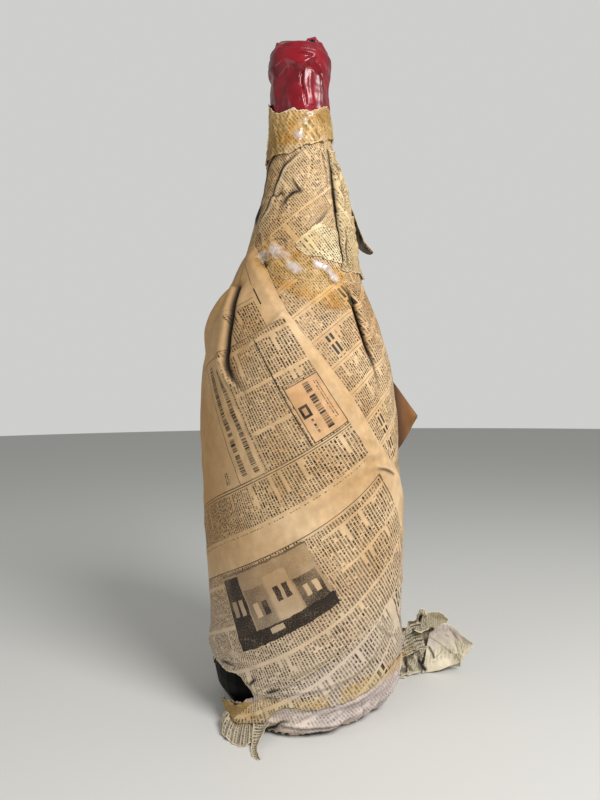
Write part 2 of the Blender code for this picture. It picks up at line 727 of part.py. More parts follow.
def corner_flap(collection):
    """A stiff brown corner that sticks out on the right."""

    def place(along, across):
        share = across + (CORNER_TIP_SHARE - across) * TAPER_SHARE * along
        low, high = both(CORNER_SHARES)
        height = low + (high - low) * share
        foot = at(side_radius(CORNER_BEARING, height) + LAYER + GAP, CORNER_BEARING, height)
        return foot + Vector((CORNER_OUT * along, 0.0, 0.0))

    loose_sheet(collection, "corner_flap", 5, 4, place, "kraft_board", BOARD)


def foot_strip(collection):
    """A torn strip that falls from the ruffle and curls out over the surface."""

    def place(along, across):
        height = SKIRT_HIGH * between(STRIP_SHARES, along)[0] / 2 + SKIRT_LOW / 2
        width = STRIP_WIDTH + (STRIP_TIP_WIDTH - STRIP_WIDTH) * along
        swing = width * (across - 0.5) / (BODY_RADIUS + STRIP_LENGTH * along)
        bearing = STRIP_BEARING + math.degrees(swing)
        skirt = skirt_radius(bearing, height)
        return at(skirt + LAYER + GAP + STRIP_LENGTH * along, bearing, height)

    loose_sheet(collection, "foot_strip", 2, 6, place, "grey_newsprint", PAPER)


def crumpled_tail(collection):
    """The crumpled end of the lowest sheet, which lies on the surface at the right."""
    mesh = bpy.data.meshes.new("crumpled_tail")
    ball = bmesh.new()
    bmesh.ops.create_icosphere(ball, subdivisions=3, radius=1.0)
    outward = at(1.0, TAIL_BEARING, 0.0)
    sideways = at(1.0, TAIL_BEARING + 90.0, 0.0)
    lifts = [(row[0], lift) for row, lift in zip(TAIL_SHARES, TAIL_LIFT_SHARES)]
    for vert in ball.verts:
        spot = vert.co.copy()
        fold = 1.0 + FOLD_SHARE * noise.noise(spot * TAIL_FOLDS + Vector((TAIL_SEED, 0.0, 0.0)))
        fold -= CRUMPLE_SHARE * abs(noise.noise(spot * 2 * TAIL_FOLDS + Vector((0.0, TAIL_SEED, 0.0))))
        along = (spot.x + 1) / 2
        tall, deep = between(TAIL_SHARES, along)
        ring = max(1 - spot.x**2, TAIL_RING_SHARE) ** 0.5
        across = spot.y / ring * deep * fold
        up = (spot.z / ring + 1) / 2 * tall * fold
        lift = between(lifts, along)[0]
        height = GAP + TAIL_HEIGHT * max(lift + up * (1 - lift), 0.0)
        beneath = skirt_radius if height < SKIRT_HIGH else lower_radius
        near = beneath(TAIL_BEARING, height) + LAYER + GAP
        place = outward * (near + TAIL_LENGTH * along) + sideways * (TAIL_DEPTH / 2 * across)
        reach = math.hypot(place.x, place.y)
        if reach < near:
            place = place * near / reach
        place.z = height
        vert.co = place
    ball.to_mesh(mesh)
    ball.free()
    add(collection, "crumpled_tail", mesh, "pale_newsprint")


def main():
    clear_scene()
    bottle = new_collection("wrapped_wine_bottle")
    cutters = new_collection("cutters")
    for piece in (
        glass_bottle, wine, cork, wax_sleeve, inner_wrap, side_wrap, outer_wrap, lower_wrap, shoulder_wrap,
        neck_collar, neck_tape, neck_ridge, shoulder_patch, shoulder_tape, foot_tape, foot_skirt, foot_fold,
        neck_flap, corner_flap, foot_strip, crumpled_tail,
    ):
        piece(bottle)
    wax_crown(bottle, cutters)


main()
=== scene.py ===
"""The looks of a very large wine bottle, wrapped in old newspaper and clear tape and dipped in red wax.

Metres, +Z up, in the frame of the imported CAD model. A bearing is an angle round the bottle in degrees, 0 at
the front (-Y) and positive to the right (+X). The sheets are laid one over another, from the glass outwards:
each takes its place from its CAD node and stays outside what lies beneath it.
"""

import math

import bpy
import numpy as np
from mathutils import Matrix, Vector
from mathutils.bvhtree import BVHTree


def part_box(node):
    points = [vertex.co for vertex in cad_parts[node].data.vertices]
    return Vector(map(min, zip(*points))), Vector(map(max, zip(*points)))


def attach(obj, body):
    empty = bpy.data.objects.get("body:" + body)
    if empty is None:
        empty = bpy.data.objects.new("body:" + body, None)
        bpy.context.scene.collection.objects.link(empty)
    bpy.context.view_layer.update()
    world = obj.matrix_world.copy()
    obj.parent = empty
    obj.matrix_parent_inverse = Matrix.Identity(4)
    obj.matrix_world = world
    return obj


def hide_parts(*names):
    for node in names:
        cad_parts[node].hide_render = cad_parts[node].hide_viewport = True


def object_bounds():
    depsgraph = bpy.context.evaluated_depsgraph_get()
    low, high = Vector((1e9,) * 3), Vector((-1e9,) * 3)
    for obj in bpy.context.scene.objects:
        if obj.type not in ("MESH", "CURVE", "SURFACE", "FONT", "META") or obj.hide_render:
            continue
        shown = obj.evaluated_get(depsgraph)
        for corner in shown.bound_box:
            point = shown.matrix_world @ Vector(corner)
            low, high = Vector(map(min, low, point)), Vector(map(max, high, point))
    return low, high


bl_info = {
    "name": "Wrapped Wine Bottle",
    "version": (1, 0, 0),
    "blender": (4, 5, 0),
    "location": "3D View > Sidebar > Bottle",
    "description": "Dresses a wine bottle in aged newspaper, tape and sealing wax",
    "category": "Object",
}

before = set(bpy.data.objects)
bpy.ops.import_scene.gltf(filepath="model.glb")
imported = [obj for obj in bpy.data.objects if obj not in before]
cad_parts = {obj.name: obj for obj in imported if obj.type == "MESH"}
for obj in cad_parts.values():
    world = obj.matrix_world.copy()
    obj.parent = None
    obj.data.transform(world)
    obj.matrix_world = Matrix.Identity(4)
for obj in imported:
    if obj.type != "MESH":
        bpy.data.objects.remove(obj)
CAD_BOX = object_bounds()

TURN = 2 * math.pi
MILLIMETRE = 0.001

# The wrapping is measured on a raster of bearings and heights
BEARING_STEP = 3.0
HEIGHT_STEP = 0.003
COLUMNS = round(360.0 / BEARING_STEP)
ROWS = round(CAD_BOX[1].z / HEIGHT_STEP) + 2
CAST_FROM = 0.3
SMOOTHING = 6
REACH = 0.1

# Paper and tape
PAPER = 0.00025
TAPE = 0.00008
BOARD = 0.0007
GAP = 0.00035
LAP = 0.0008
GRAIN = 0.0022
FINE_GRAIN = 0.0015
TEAR = 0.0018
FIBRES = 0.0022
SHADOW = 0.0021
RIM = 0.0011
LYING = 0.0006
# The least share of its rectangle that a sheet's area is taken to fill
LEAST_AREA_SHARE = 0.31
# The turned-under start of a roll: distance from the start and its shift, in shares of the curl, the share
# of its height that it has there, and how dark the painted shade under the turn is
CURL_SHARES = (
    (0.0, 0.40, 0.00, 0.95), (0.15, 0.05, 0.15, 0.9), (0.35, -0.14, 0.50, 0.45), (0.60, -0.08, 0.86, 0.1),
    (0.85, 0.0, 1.0, 0.0), (1.0, 0.0, 1.0, 0.0),
)

# The camera stands where the photographer stood: about 0.67 m away and 0.31 m up, with a 28 mm lens
CAMERA_PLACE = (-0.0035, -0.665, 0.310)
CAMERA_ROLL = 0.68
LENS = 28.0

# Edges of the sheets and lines on them: bearing in degrees, height in metres
OUTER_TOP = (
    (-198, 0.396), (-144, 0.421), (-99, 0.440), (-75, 0.462), (-59, 0.469), (-39, 0.447), (-26, 0.426),
    (-16, 0.405), (-2, 0.377), (7, 0.358), (16, 0.338), (25, 0.317), (38, 0.286), (47, 0.266), (60, 0.246),
    (80, 0.222), (108, 0.194), (171, 0.160),
)
OUTER_BOTTOM = (
    (-198, 0.119), (-144, 0.0745), (-90, 0.054), (-59, 0.051), (-51, 0.049), (-43, 0.051), (-36, 0.048),
    (-30, 0.040), (-20, 0.040), (-9, 0.051), (0, 0.061), (12, 0.072), (23, 0.082), (32, 0.092), (43, 0.103),
    (53, 0.115), (70, 0.119), (108, 0.119), (171, 0.1205),
)
LOWER_BOTTOM = (
    (-189, 0.039), (-90, 0.053), (-64, 0.056), (-45, 0.053), (-36, 0.046), (-32, 0.0405), (-29, 0.029),
    (-25.5, 0.0135), (-22, 0.0165), (-18, 0.0236), (-14, 0.0285), (-2, 0.0293), (10, 0.0302), (22, 0.0322),
    (37, 0.0405), (60, 0.052), (90, 0.045), (162, 0.041),
)
INNER_BOTTOM = ((-190, 0.038), (-81, 0.038), (-63, 0.058), (-45, 0.059), (-27, 0.050), (-9, 0.038),
                (210, 0.038))
SKIRT_TOP = (
    (-180, 0.033), (-72, 0.033), (-64, 0.022), (-58, 0.015), (-48, 0.022), (-38, 0.027), (-28, 0.030),
    (-18, 0.034), (0, 0.036), (26, 0.038), (50, 0.048), (60, 0.050), (90, 0.040), (180, 0.033),
)
HEEL_TOP = (
    (-62, 0.0125), (-60, 0.0155), (-56, 0.0185), (-50, 0.0219), (-43, 0.0226), (-36, 0.0262), (-30, 0.0300),
    (-27, 0.032),
)
TONGUE_LOW = ((-41, 0.0090), (-32, 0.0110), (-24, 0.0132))
TONGUE_HIGH = ((-41, 0.0100), (-37.5, 0.0165), (-34, 0.0232), (-29, 0.0310), (-24, 0.033))
FOOT_TAPE_LOW = (
    (-40, 0.0100), (-32, 0.0115), (-25, 0.0138), (-22, 0.0170), (-18, 0.0240), (-14, 0.0285), (-3, 0.0295),
    (7, 0.031), (17, 0.031), (26, 0.035), (39, 0.041), (50, 0.046), (63, 0.052),
)
FOOT_TAPE_HIGH = (
    (-40, 0.0112), (-37, 0.0170), (-34, 0.0225), (-29, 0.0310), (-9, 0.038), (-2, 0.039), (8, 0.043),
    (20, 0.051), (34, 0.059), (49, 0.066), (63, 0.071),
)
SHOULDER_LOW = (
    (-180, 0.428), (-130, 0.436), (-80, 0.436), (-45, 0.449), (-22, 0.430), (0, 0.4255), (24, 0.4245),
    (40, 0.4245),
    (70, 0.430), (105, 0.437), (150, 0.433), (180, 0.428),
)
SHOULDER_TAPE_LOW = (
    (-45, 0.446), (-37, 0.440), (-21, 0.423), (-9, 0.414), (2, 0.406), (12, 0.401), (28, 0.397),
    (38, 0.400),
)
SHOULDER_TAPE_HIGH = (
    (-45, 0.468), (-32, 0.467), (-11, 0.457), (3, 0.450), (16, 0.444), (38, 0.436),
)
COLLAR_LOW = (
    (-180, 0.572), (-87, 0.560), (-39, 0.562), (-14, 0.561), (-1, 0.566), (14, 0.569), (35, 0.574),
    (87, 0.586),
    (180, 0.572),
)
COLLAR_HIGH = (
    (-180, 0.618), (-87, 0.625), (-63, 0.613), (-41, 0.606), (-19, 0.607), (9, 0.605), (36, 0.608),
    (56, 0.615), (87, 0.612), (180, 0.618),
)
NECK_TAPE_LOW = ((-135, 0.577), (-87, 0.580), (-17, 0.570), (16, 0.572), (68, 0.581), (225, 0.577))
NECK_TAPE_HIGH = ((-135, 0.608), (-87, 0.611), (-18, 0.603), (18, 0.603), (87, 0.609), (225, 0.608))
PATCH_LOW = ((-6, 0.459), (2, 0.453), (12, 0.4505), (26, 0.447), (42, 0.444))
PATCH_HIGH = ((-6, 0.462), (0, 0.471), (8, 0.477), (16, 0.485), (30, 0.482), (42, 0.479))

LEFT_PLEAT = (
    (-100, 0.350), (-88, 0.374), (-77, 0.394), (-68, 0.410), (-60, 0.4200), (-55, 0.4225), (-53, 0.414),
    (-51.5, 0.403), (-50, 0.392), (-48.8, 0.375), (-48, 0.358), (-47, 0.346), (-43.5, 0.3345),
    (-38, 0.3245),
    (-32, 0.3145), (-26, 0.305),
)
RIGHT_PLEAT = ((39, 0.424), (40, 0.404), (41, 0.391), (42, 0.376), (44, 0.360), (47, 0.346), (50, 0.328),
               (53, 0.308))
# A pleat across its line: where the sheet was, where it goes and its rise, in shares of its width, and how
# dark its painted shade is inside. The sheet comes in from the roll, turns over it and down into the fold,
# and goes on
PLEAT_SHARES = (
    (-1.00, -1.00, 0.00, 0.0), (-0.75, -0.74, 0.12, 0.0), (-0.50, -0.48, 0.28, 0.0),
    (-0.30, -0.26, 0.37, 0.0),
    (-0.15, -0.06, 0.38, 0.0), (-0.05, 0.07, 0.30, 0.1), (0.00, 0.09, 0.20, 0.3), (0.06, 0.04, 0.04, 0.6),
    (0.13, -0.02, -0.12, 0.9), (0.22, 0.03, -0.24, 1.0), (0.32, 0.13, -0.22, 0.45),
    (0.42, 0.24, -0.11, 0.1),
    (0.55, 0.38, -0.02, 0.0), (0.75, 0.66, 0.02, 0.0), (1.00, 1.00, 0.00, 0.0),
)

# The way the print runs: column rules rise to the right at this angle, and more steeply further right
PRINT_RISE = 30.0
PRINT_TURN = 0.10
PRINT_RISES = (22.0, 38.0)
PAGE_ORIGIN = 0.2605
PAGE_REACH = 600.0


# Measures


def at(radius, bearing, height):
    """Places on the bottle, from numbers or arrays."""
    turn = np.radians(bearing)
    return np.stack(np.broadcast_arrays(radius * np.sin(turn), -radius * np.cos(turn), height), axis=-1)


def smooth(points, x):
    """A smooth line through points, read at x."""
    px, py = (np.array(values, float) for values in zip(*points))
    slopes = np.gradient(py, px)
    k = np.clip(np.searchsorted(px, x) - 1, 0, len(px) - 2)
    run = px[k + 1] - px[k]
    t = np.clip((x - px[k]) / run, 0.0, 1.0)
    return (
        (2 * t**3 - 3 * t**2 + 1) * py[k] + (t**3 - 2 * t**2 + t) * slopes[k] * run
        + (3 * t**2 - 2 * t**3) * py[k + 1] + (t**3 - t**2) * slopes[k + 1] * run
    )


def step(low, high, x):
    """0 below low, 1 above high, and smooth between."""
    t = np.clip((x - low) / (high - low), 0.0, 1.0)
    return t * t * (3 - 2 * t)


def bell(distance, width):
    """1 at no distance, and fading evenly to both sides over the width."""
    return np.exp(-((distance / width) ** 2))


def zigzag(angle):
    """A wave of straight creases, from -1 to 1."""
    return np.arcsin(np.sin(angle)) * 2 / math.pi


def rounded(share):
    """0 at both ends of a share from 0 to 1, and 1 in its middle, rising steeply at the ends."""
    return np.sqrt(np.clip(np.sin(math.pi * share), 0.0, 1.0))


def drawn(points, count):
    """A smooth line through places with any number of coordinates, as count points."""
    along = np.linspace(0, len(points) - 1, count)
    return np.stack([smooth(list(enumerate(values)), along) for values in zip(*points)], axis=-1)


def gaps(place, axis):
    """The distances between neighbours in a grid of places."""
    return np.linalg.norm(np.diff(place, axis=axis), axis=-1)


def sample(raster, bearing, height):
    """A raster of the wrapping, read between its points."""
    column = np.asarray(bearing, float) / BEARING_STEP
    row = np.clip(np.asarray(height, float) / HEIGHT_STEP, 0.0, ROWS - 1.001)
    left, down = np.floor(column).astype(int), np.floor(row).astype(int)
    across, up = column - left, row - down
    right = (left + 1) % COLUMNS
    left = left % COLUMNS
    low = (1 - across) * raster[down, left] + across * raster[down, right]
    high = (1 - across) * raster[down + 1, left] + across * raster[down + 1, right]
    return (1 - up) * low + up * high


def soften(raster, times):
    """Evens a raster out, round the bottle and up and down."""
    for _ in range(times):
        raster = (np.roll(raster, 1, 1) + 2 * raster + np.roll(raster, -1, 1)) / 4
        padded = np.vstack([raster[:1], raster, raster[-1:]])
        raster = (padded[:-2] + 2 * padded[1:-1] + padded[2:]) / 4
    return raster


def outside_of(node):
    """The outermost radius of a CAD node at each bearing and height, and nothing where a ray misses it."""
    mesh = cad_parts[node].data
    tree = BVHTree.FromPolygons([v.co for v in mesh.vertices], [tuple(p.vertices) for p in mesh.polygons])
    low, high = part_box(node)
    raster = np.full((ROWS, COLUMNS), np.nan)
    for column in range(COLUMNS):
        outward = Vector(at(1.0, column * BEARING_STEP, 0.0))
        for row in range(ROWS):
            height = row * HEIGHT_STEP
            if low.z <= height <= high.z:
                hit = tree.ray_cast(outward * CAST_FROM + Vector((0.0, 0.0, height)), -outward,
                                    CAST_FROM)[0]
                if hit:
                    raster[row, column] = math.hypot(hit.x, hit.y)
    return raster


def filled(raster):
    """Carries a raster past its edges, first up and down and then round the bottle."""
    rows, columns = np.arange(ROWS), np.arange(COLUMNS)
    for column in columns:
        known = ~np.isnan(raster[:, column])
        if known.any():
            raster[:, column] = np.interp(rows, rows[known], raster[known, column])
    known = ~np.isnan(raster[0])
    for row in rows:
        raster[row] = np.interp(columns, columns[known], raster[row, known], period=COLUMNS)
    return raster


GLASS = filled(outside_of("glass_bottle"))
reached = GLASS.copy()


def stand_off(node):
    """How far a CAD sheet stands off the glass."""
    return soften(filled(outside_of(node) - GLASS), SMOOTHING)


def ripples(bearing, height, length, seed, slant=None, spread=20.0, sharp=False, count=12, radius=REACH):
    """Uneven waves about as long as length, mostly between -1 and 1, with whole numbers of them in a turn.
    Their ridges run at slant degrees above the level, or every way. Sharp ones are creased like paper."""
    draw = np.random.default_rng(seed)
    total = 0.0
    for _ in range(count):
        heading = draw.uniform(0.0, math.pi)
        if slant is not None:
            heading = math.radians(slant + 90.0 + spread * draw.uniform(-1.0, 1.0))
        wave = TURN / length * draw.uniform(0.65, 1.5)
        angle = round(wave * math.cos(heading) * radius) * np.radians(bearing)
        angle = angle + wave * math.sin(heading) * height + draw.uniform(0.0, TURN)
        total = total + (zigzag(angle) if sharp else np.sin(angle))
    return total / math.sqrt(1.4 * count)


def from_line(points, bearing, height):
    """Distance from a line on the sheet, positive on its right when the line runs down, the place along it,
    and the direction, round and up, in which the distance grows."""
    around = np.radians(sample(GLASS, bearing, height))
    line = drawn(points, 5 * len(points))
    nearest = np.full(np.shape(bearing), np.inf)
    side, place, east, up = (np.zeros_like(nearest) for _ in range(4))
    for k, ((bearing_a, height_a), (bearing_b, height_b)) in enumerate(zip(line, line[1:])):
        x, y = (bearing - bearing_a) * around, height - height_a
        run_x, run_y = (bearing_b - bearing_a) * around, height_b - height_a
        length = np.hypot(run_x, run_y)
        share = np.clip((x * run_x + y * run_y) / length**2, 0.0, 1.0)
        distance = np.hypot(x - share * run_x, y - share * run_y)
        closer = distance < nearest
        side = np.where(closer, np.sign(run_x * y - run_y * x), side)
        place = np.where(closer, (k + share) / (len(line) - 1), place)
        east, up = np.where(closer, -run_y / length, east), np.where(closer, run_x / length, up)
        nearest = np.minimum(nearest, distance)
    return nearest * side, place, east, up


def relief(features, bearing, height):
    """Rise, painted shade and pale rims of the folds and torn lips on a sheet. Each has its kind, its line,
    its width, how far it rises and how dark its painted shade is. A fold lies to both sides of its line, and
    a lip rises on the right of it, with painted shadow along its line and a pale rim on its right: paler
    fibre where it is torn, and a painted highlight where it is folded."""
    rise, dark, pale = (np.zeros(np.shape(bearing)) for _ in range(3))
    for kind, points, width, up, shade in features:
        distance, place = from_line(points, bearing, height)[:2]
        ends = rounded(place)
        if kind == "fold":
            rise = rise + up * ends * bell(distance, width)
            hidden = bell(distance, 0.6 * width)
        else:
            rise = rise + up * ends * np.where(distance > 0, np.exp(-np.abs(distance) / width), 0.0)
            hidden = bell(np.where(distance > 0, 1.4, 1.0) * distance, SHADOW)
            pale = np.maximum(pale, 0.6 * shade * ends * bell(distance / RIM - 2.2, 1.0))
        # The darkness is painted shade in the folds and beside the lips
        dark = np.maximum(dark, shade * ends * hidden)
    return rise, dark, pale


def pleat(fold, bearing, height, radius):
    """Turns a sheet over itself along a line. Gives its bearings, heights, radii and painted inner shade."""
    points, width, strength, hand = fold
    distance, place, east, up = from_line(points, bearing, height)
    across = hand * distance / width
    was, goes, rise, dark = zip(*PLEAT_SHARES)
    full = step(0.0, 0.12, place) * (1 - step(strength, 1.0, place))
    full = np.where((place <= 0) | (place >= 1) | (np.abs(across) >= 1), 0.0, full)
    moved = hand * (smooth(list(zip(was, goes)), across) - across) * full * width
    lift = smooth(list(zip(was, rise)), across) * full * width
    inside = np.interp(across, was, dark) * np.sqrt(full)
    return bearing + np.degrees(moved * east / radius), height + moved * up, radius + lift, inside


def page(bearing, height, radius, origin=PAGE_ORIGIN, rise=PRINT_RISE, turn=PRINT_TURN):
    """Where a point lies on its printed page, in millimetres along and across the column rules."""
    around = np.radians(bearing) * radius / MILLIMETRE
    up = (height - origin) / MILLIMETRE
    reach = np.arange(-PAGE_REACH, PAGE_REACH, 1.0)
    rules = np.radians(np.clip(rise + turn * reach, *PRINT_RISES))
    middle = len(reach) // 2
    climb = np.cumsum(np.tan(rules))
    fall = np.cumsum(1 / np.tan(rules))
    angle = math.radians(rise)
    return np.stack([
        math.sin(angle) * (up + np.interp(around, reach, fall - fall[middle])),
        math.cos(angle) * (up - np.interp(around, reach, climb - climb[middle])),
    ], axis=-1)


# Meshes


def spread(start, stop, grain, radius):
    """Bearings of a sheet's columns."""
    return np.linspace(start, stop, max(round(math.radians(stop - start) * radius / grain), 4) + 1)


def ragged(bearings, depth, seed):
    """A torn edge: coarse bites and fine teeth."""
    bites = ripples(bearings, 0.0, 0.035, seed, sharp=True)
    teeth = ripples(bearings, 0.0, 0.009, seed + 1, sharp=True)
    return depth * (0.7 * bites + 0.5 * teeth)


def grid(bearings, low, high, grain):
    """Bearings and heights of a sheet's points, in rows from its lower edge to its upper one."""
    rows = max(round(float(np.max(high - low)) / grain), 3) + 1
    share = np.linspace(0.0, 1.0, rows)[:, None]
    return np.broadcast_to(bearings, (rows, len(bearings))).copy(), low + (high - low) * share


def torn_edges(place, low, high):
    """How pale the torn fibres are at each point of a grid, near its lower and upper edges."""
    up = np.vstack([np.zeros((1, place.shape[1])), np.cumsum(gaps(place, 0), axis=0)])
    return np.maximum(low * np.clip(1 - up / FIBRES, 0, 1), high * np.clip(1 - (up[-1:] - up) / FIBRES, 0,
                                                                           1))


def new_mesh(name, place, layers):
    """A grid of places as a mesh, with what its UV layers hold at each point."""
    rows, columns = place.shape[:2]
    index = np.arange(rows * columns).reshape(rows, columns)
    faces = np.stack([index[:-1, :-1], index[:-1, 1:], index[1:, 1:], index[1:, :-1]], axis=-1).reshape(-1,
                                                                                                        4)
    mesh = bpy.data.meshes.new(name)
    mesh.from_pydata(place.reshape(-1, 3).tolist(), [], faces.tolist())
    for layer, values in layers.items():
        uv = mesh.uv_layers.new(name=layer)
        uv.data.foreach_set("uv", values.reshape(-1, 2)[faces.ravel()].astype(np.float32).ravel())
    mesh.shade_smooth()
    return mesh


def crease_of(place):
    """How sharply a grid bends at each point, from 0 to 1, for the wear along folds."""
    bend = np.zeros(place.shape[:2])
    bend[1:-1] += np.linalg.norm(place[2:] + place[:-2] - 2 * place[1:-1], axis=-1)
    bend[:, 1:-1] += np.linalg.norm(place[:, 2:] + place[:, :-2] - 2 * place[:, 1:-1], axis=-1)
    size = np.median(gaps(place, 0))
    return np.clip(bend / size / 0.9, 0.0, 1.0)


def dress(name, mesh, material, thickness, nodes, body="bottle"):
    """Makes a mesh a piece of the bottle that stands for its CAD nodes."""
    made = bpy.data.objects.new(name, mesh)
    bpy.context.scene.collection.objects.link(made)
    mesh.materials.append(material)
    if thickness:
        solid = made.modifiers.new("thickness", "SOLIDIFY")
        solid.thickness = thickness
        solid.offset = 1.0
    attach(made, body)
    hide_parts(*nodes)
    return made


def paper_piece(name, place, print_at, painted_shade_and_rims, torn, material, thickness, nodes):
    """A sheet of paper or tape from its grid of places. Its flat size and area are reckoned, and nothing uses
    them.
    """
    # The fold layer holds painted shade, and pale rims: torn fibre on torn lips, painted highlight on folds
    layers = {
        "page": print_at, "wear": np.stack([torn_edges(place, *torn), crease_of(place)], axis=-1),
        "fold": painted_shade_and_rims,
    }
    made = dress(name, new_mesh(name, place, layers), material, thickness, nodes)
    width = np.median(gaps(place, 1).sum(axis=1))
    length = np.max(gaps(place, 0).sum(axis=0))
    a, b, c = place[:-1, :-1], place[:-1, 1:], place[1:, :-1]
    area = float(np.linalg.norm(np.cross(b - a, c - a), axis=-1).sum())
    area = min(max(area, LEAST_AREA_SHARE * width * length), width * length)


def lay(radius, start, stop, low, high):
    """Notes how far out the wrapping now reaches."""
    bearings = np.arange(COLUMNS) * BEARING_STEP
    heights = np.arange(ROWS)[:, None] * HEIGHT_STEP
    for turn in (-360.0, 0.0):
        bearing = bearings + turn
        inside = (bearing >= start) & (bearing <= stop)
        over = inside & (heights >= low(bearing)) & (heights <= high(bearing))
        outermost = radius(np.broadcast_to(bearing, reached.shape), np.broadcast_to(heights, reached.shape))
        reached[over] = np.maximum(reached, outermost + PAPER)[over]


def over_beneath(off, start, bumps):
    """The radius of a sheet at each bearing and height: off the glass as its CAD node is, and outside what
    is beneath it, with its own bumps. A sheet that goes round once climbs by one lap over its own start."""
    beneath = soften(reached, 2)

    def radius(bearing, height):
        own = sample(GLASS, bearing, height) + sample(off, bearing, height) - PAPER
        under = np.maximum(sample(beneath, bearing, height), sample(reached, bearing, height))
        climb = LAP * (np.clip((bearing - start) / 360.0, 0.0, 1.0) - 1.0)
        return np.maximum(own, under + GAP + LAP) + bumps(bearing, height) + climb

    return radius


def edge(given):
    """A sheet's edge at each bearing, given as a level height, as a line of points or as a function."""
    if callable(given):
        return given
    if isinstance(given, tuple):
        return lambda bearing: smooth(given, np.asarray(bearing, float))
    return lambda bearing: np.full(np.shape(bearing), given)


def wrap(name, start, stop, low, high, bumps, page_of, material, nodes, grain=GRAIN, thickness=PAPER,
         bearings=None, pleats=(), features=(), torn=(0.7, 0.7), tear=TEAR, seed=1, mean_radius=REACH,
         tuck=0.0,
         settle=0.0, lean=None, curl=0.0):
    """One sheet round the bottle. Within the width of its tuck from its upper edge, or the width that it
    settles from its lower edge, it lies down on the sheet beneath. A sheet that leans has its start follow a
    line, and a curl turns that start under."""
    low, high = edge(low), edge(high)
    radius = over_beneath(stand_off(nodes[0]), start, bumps)
    if bearings is None:
        bearings = spread(start, stop, grain, mean_radius)
    low_edge = low(bearings) + ragged(bearings, tear, seed)
    high_edge = high(bearings) - ragged(bearings, tear, seed + 7)
    bearing, height = grid(bearings, low_edge, high_edge, grain)
    if lean:
        bearing = bearing + lean(height) * (stop - bearing) / (stop - start)
    rise, dark, pale = relief(features, bearing, height)
    floor = sample(reached, bearing, height) + GAP
    out = radius(bearing, height) + rise
    if tuck:
        down = step(0.0, tuck, high_edge - height)
        out = floor + LAP + (out - floor - LAP) * down
    if settle:
        out = floor + (out - floor) * step(0.0, settle, height - low_edge)
    out = np.maximum(out, floor)
    print_at = page_of(bearing, height)
    # Pleats and the curl add painted shade where the paper turns over
    for fold in pleats:
        bearing, height, out, inside = pleat(fold, bearing, height, out)
        dark = np.maximum(dark, inside)
    if curl:
        run = np.radians(bearing - bearing[:, :1]) * out / curl
        was, goes, lift, shade = zip(*CURL_SHARES)
        out = floor + (out - floor) * np.interp(run, was, lift)
        bearing = bearing + np.degrees(np.interp(run, was, goes) * curl / out)
        dark = np.maximum(dark, np.interp(run, was, shade))
    out = np.maximum(out, sample(reached, bearing, height) + GAP / 2)
    paper_piece(
        name, at(out, bearing, height), print_at, np.stack([dark, pale], axis=-1), torn, material,
        thickness,
        nodes,
    )
    lay(radius, start, stop, low, high)


def even(points, count):
    """Points an even way apart along a smooth line through points."""
    line = drawn(points, 8 * len(points))
    run = np.concatenate([[0.0], np.cumsum(gaps(line, 0))])
    share = np.linspace(0.0, run[-1], count)
    return np.stack([np.interp(share, run, line[:, k]) for k in range(line.shape[1])], axis=-1)


def span(low, high, bulge, crumple, length, seed, grain=FINE_GRAIN, teeth=0.0, tooth=0.0, count=12):
    """A scrap of paper between two lines of places in millimetres. It bulges out in its middle, is crumpled,
    and may have folded teeth along its lower line."""
    low, high = np.array(low, float) * MILLIMETRE, np.array(high, float) * MILLIMETRE
    width = max(gaps(line, 0).sum() for line in (low, high))
    columns = max(round(width / grain), 6)
    low, high = even(low, columns), even(high, columns)
    rows = max(round(float(np.max(np.linalg.norm(high - low, axis=-1))) / grain), 4)
    share = np.linspace(0.0, 1.0, rows)[:, None, None]
    place = low + (high - low) * share
    out = np.cross(np.gradient(place, axis=1), np.gradient(place, axis=0))
    out = out / np.maximum(np.linalg.norm(out, axis=-1, keepdims=True), 1e-9)
    along = np.linspace(0.0, width, columns)[None, :] / REACH
    noise = ripples(np.degrees(along), place[..., 2] + place[..., 0] * 0.4, length, seed, sharp=True,
                    count=count)
    shift = bulge * np.sin(math.pi * share[..., 0]) + crumple * noise
    if teeth:
        shift = shift + teeth * zigzag(along * REACH / tooth * TURN) * (1 - share[..., 0])
    place = place + out * shift[..., None]
    place[..., 2] = np.maximum(place[..., 2], LYING)
    print_at = np.stack(np.broadcast_arrays(
        along * REACH / MILLIMETRE, share[..., 0] * rows * grain / MILLIMETRE), axis=-1)
    return place, print_at


# Materials

# The make-believe print. Lengths are in millimetres: a word with its gap, a large word, and half a column's
# rule. A word's place drifts by some words, and a heading may open each stretch of so many lines
WORD = 6.5
WORD_GAP_SHARE = 0.14
WORD_DRIFT = 6.0
DRIFTS_PER_MILLIMETRE = 0.11
LETTERS_PER_MILLIMETRE = 1.1
LARGE_WORD = 13.0
LARGE_GAP_SHARE = 0.2
HALF_RULE = 0.24
STRETCH_LINES = 17.0
HEADING_LINES = 4
# A column so wide that a line of large print never ends
ENDLESS = 400.0


def colour(code):
    """A colour given as sRGB hex, as the linear values that shaders take."""
    values = [int(code[k:k + 2], 16) / 255 for k in (1, 3, 5)]
    return [v / 12.92 if v <= 0.04045 else ((v + 0.055) / 1.055) ** 2.4 for v in values] + [1.0]


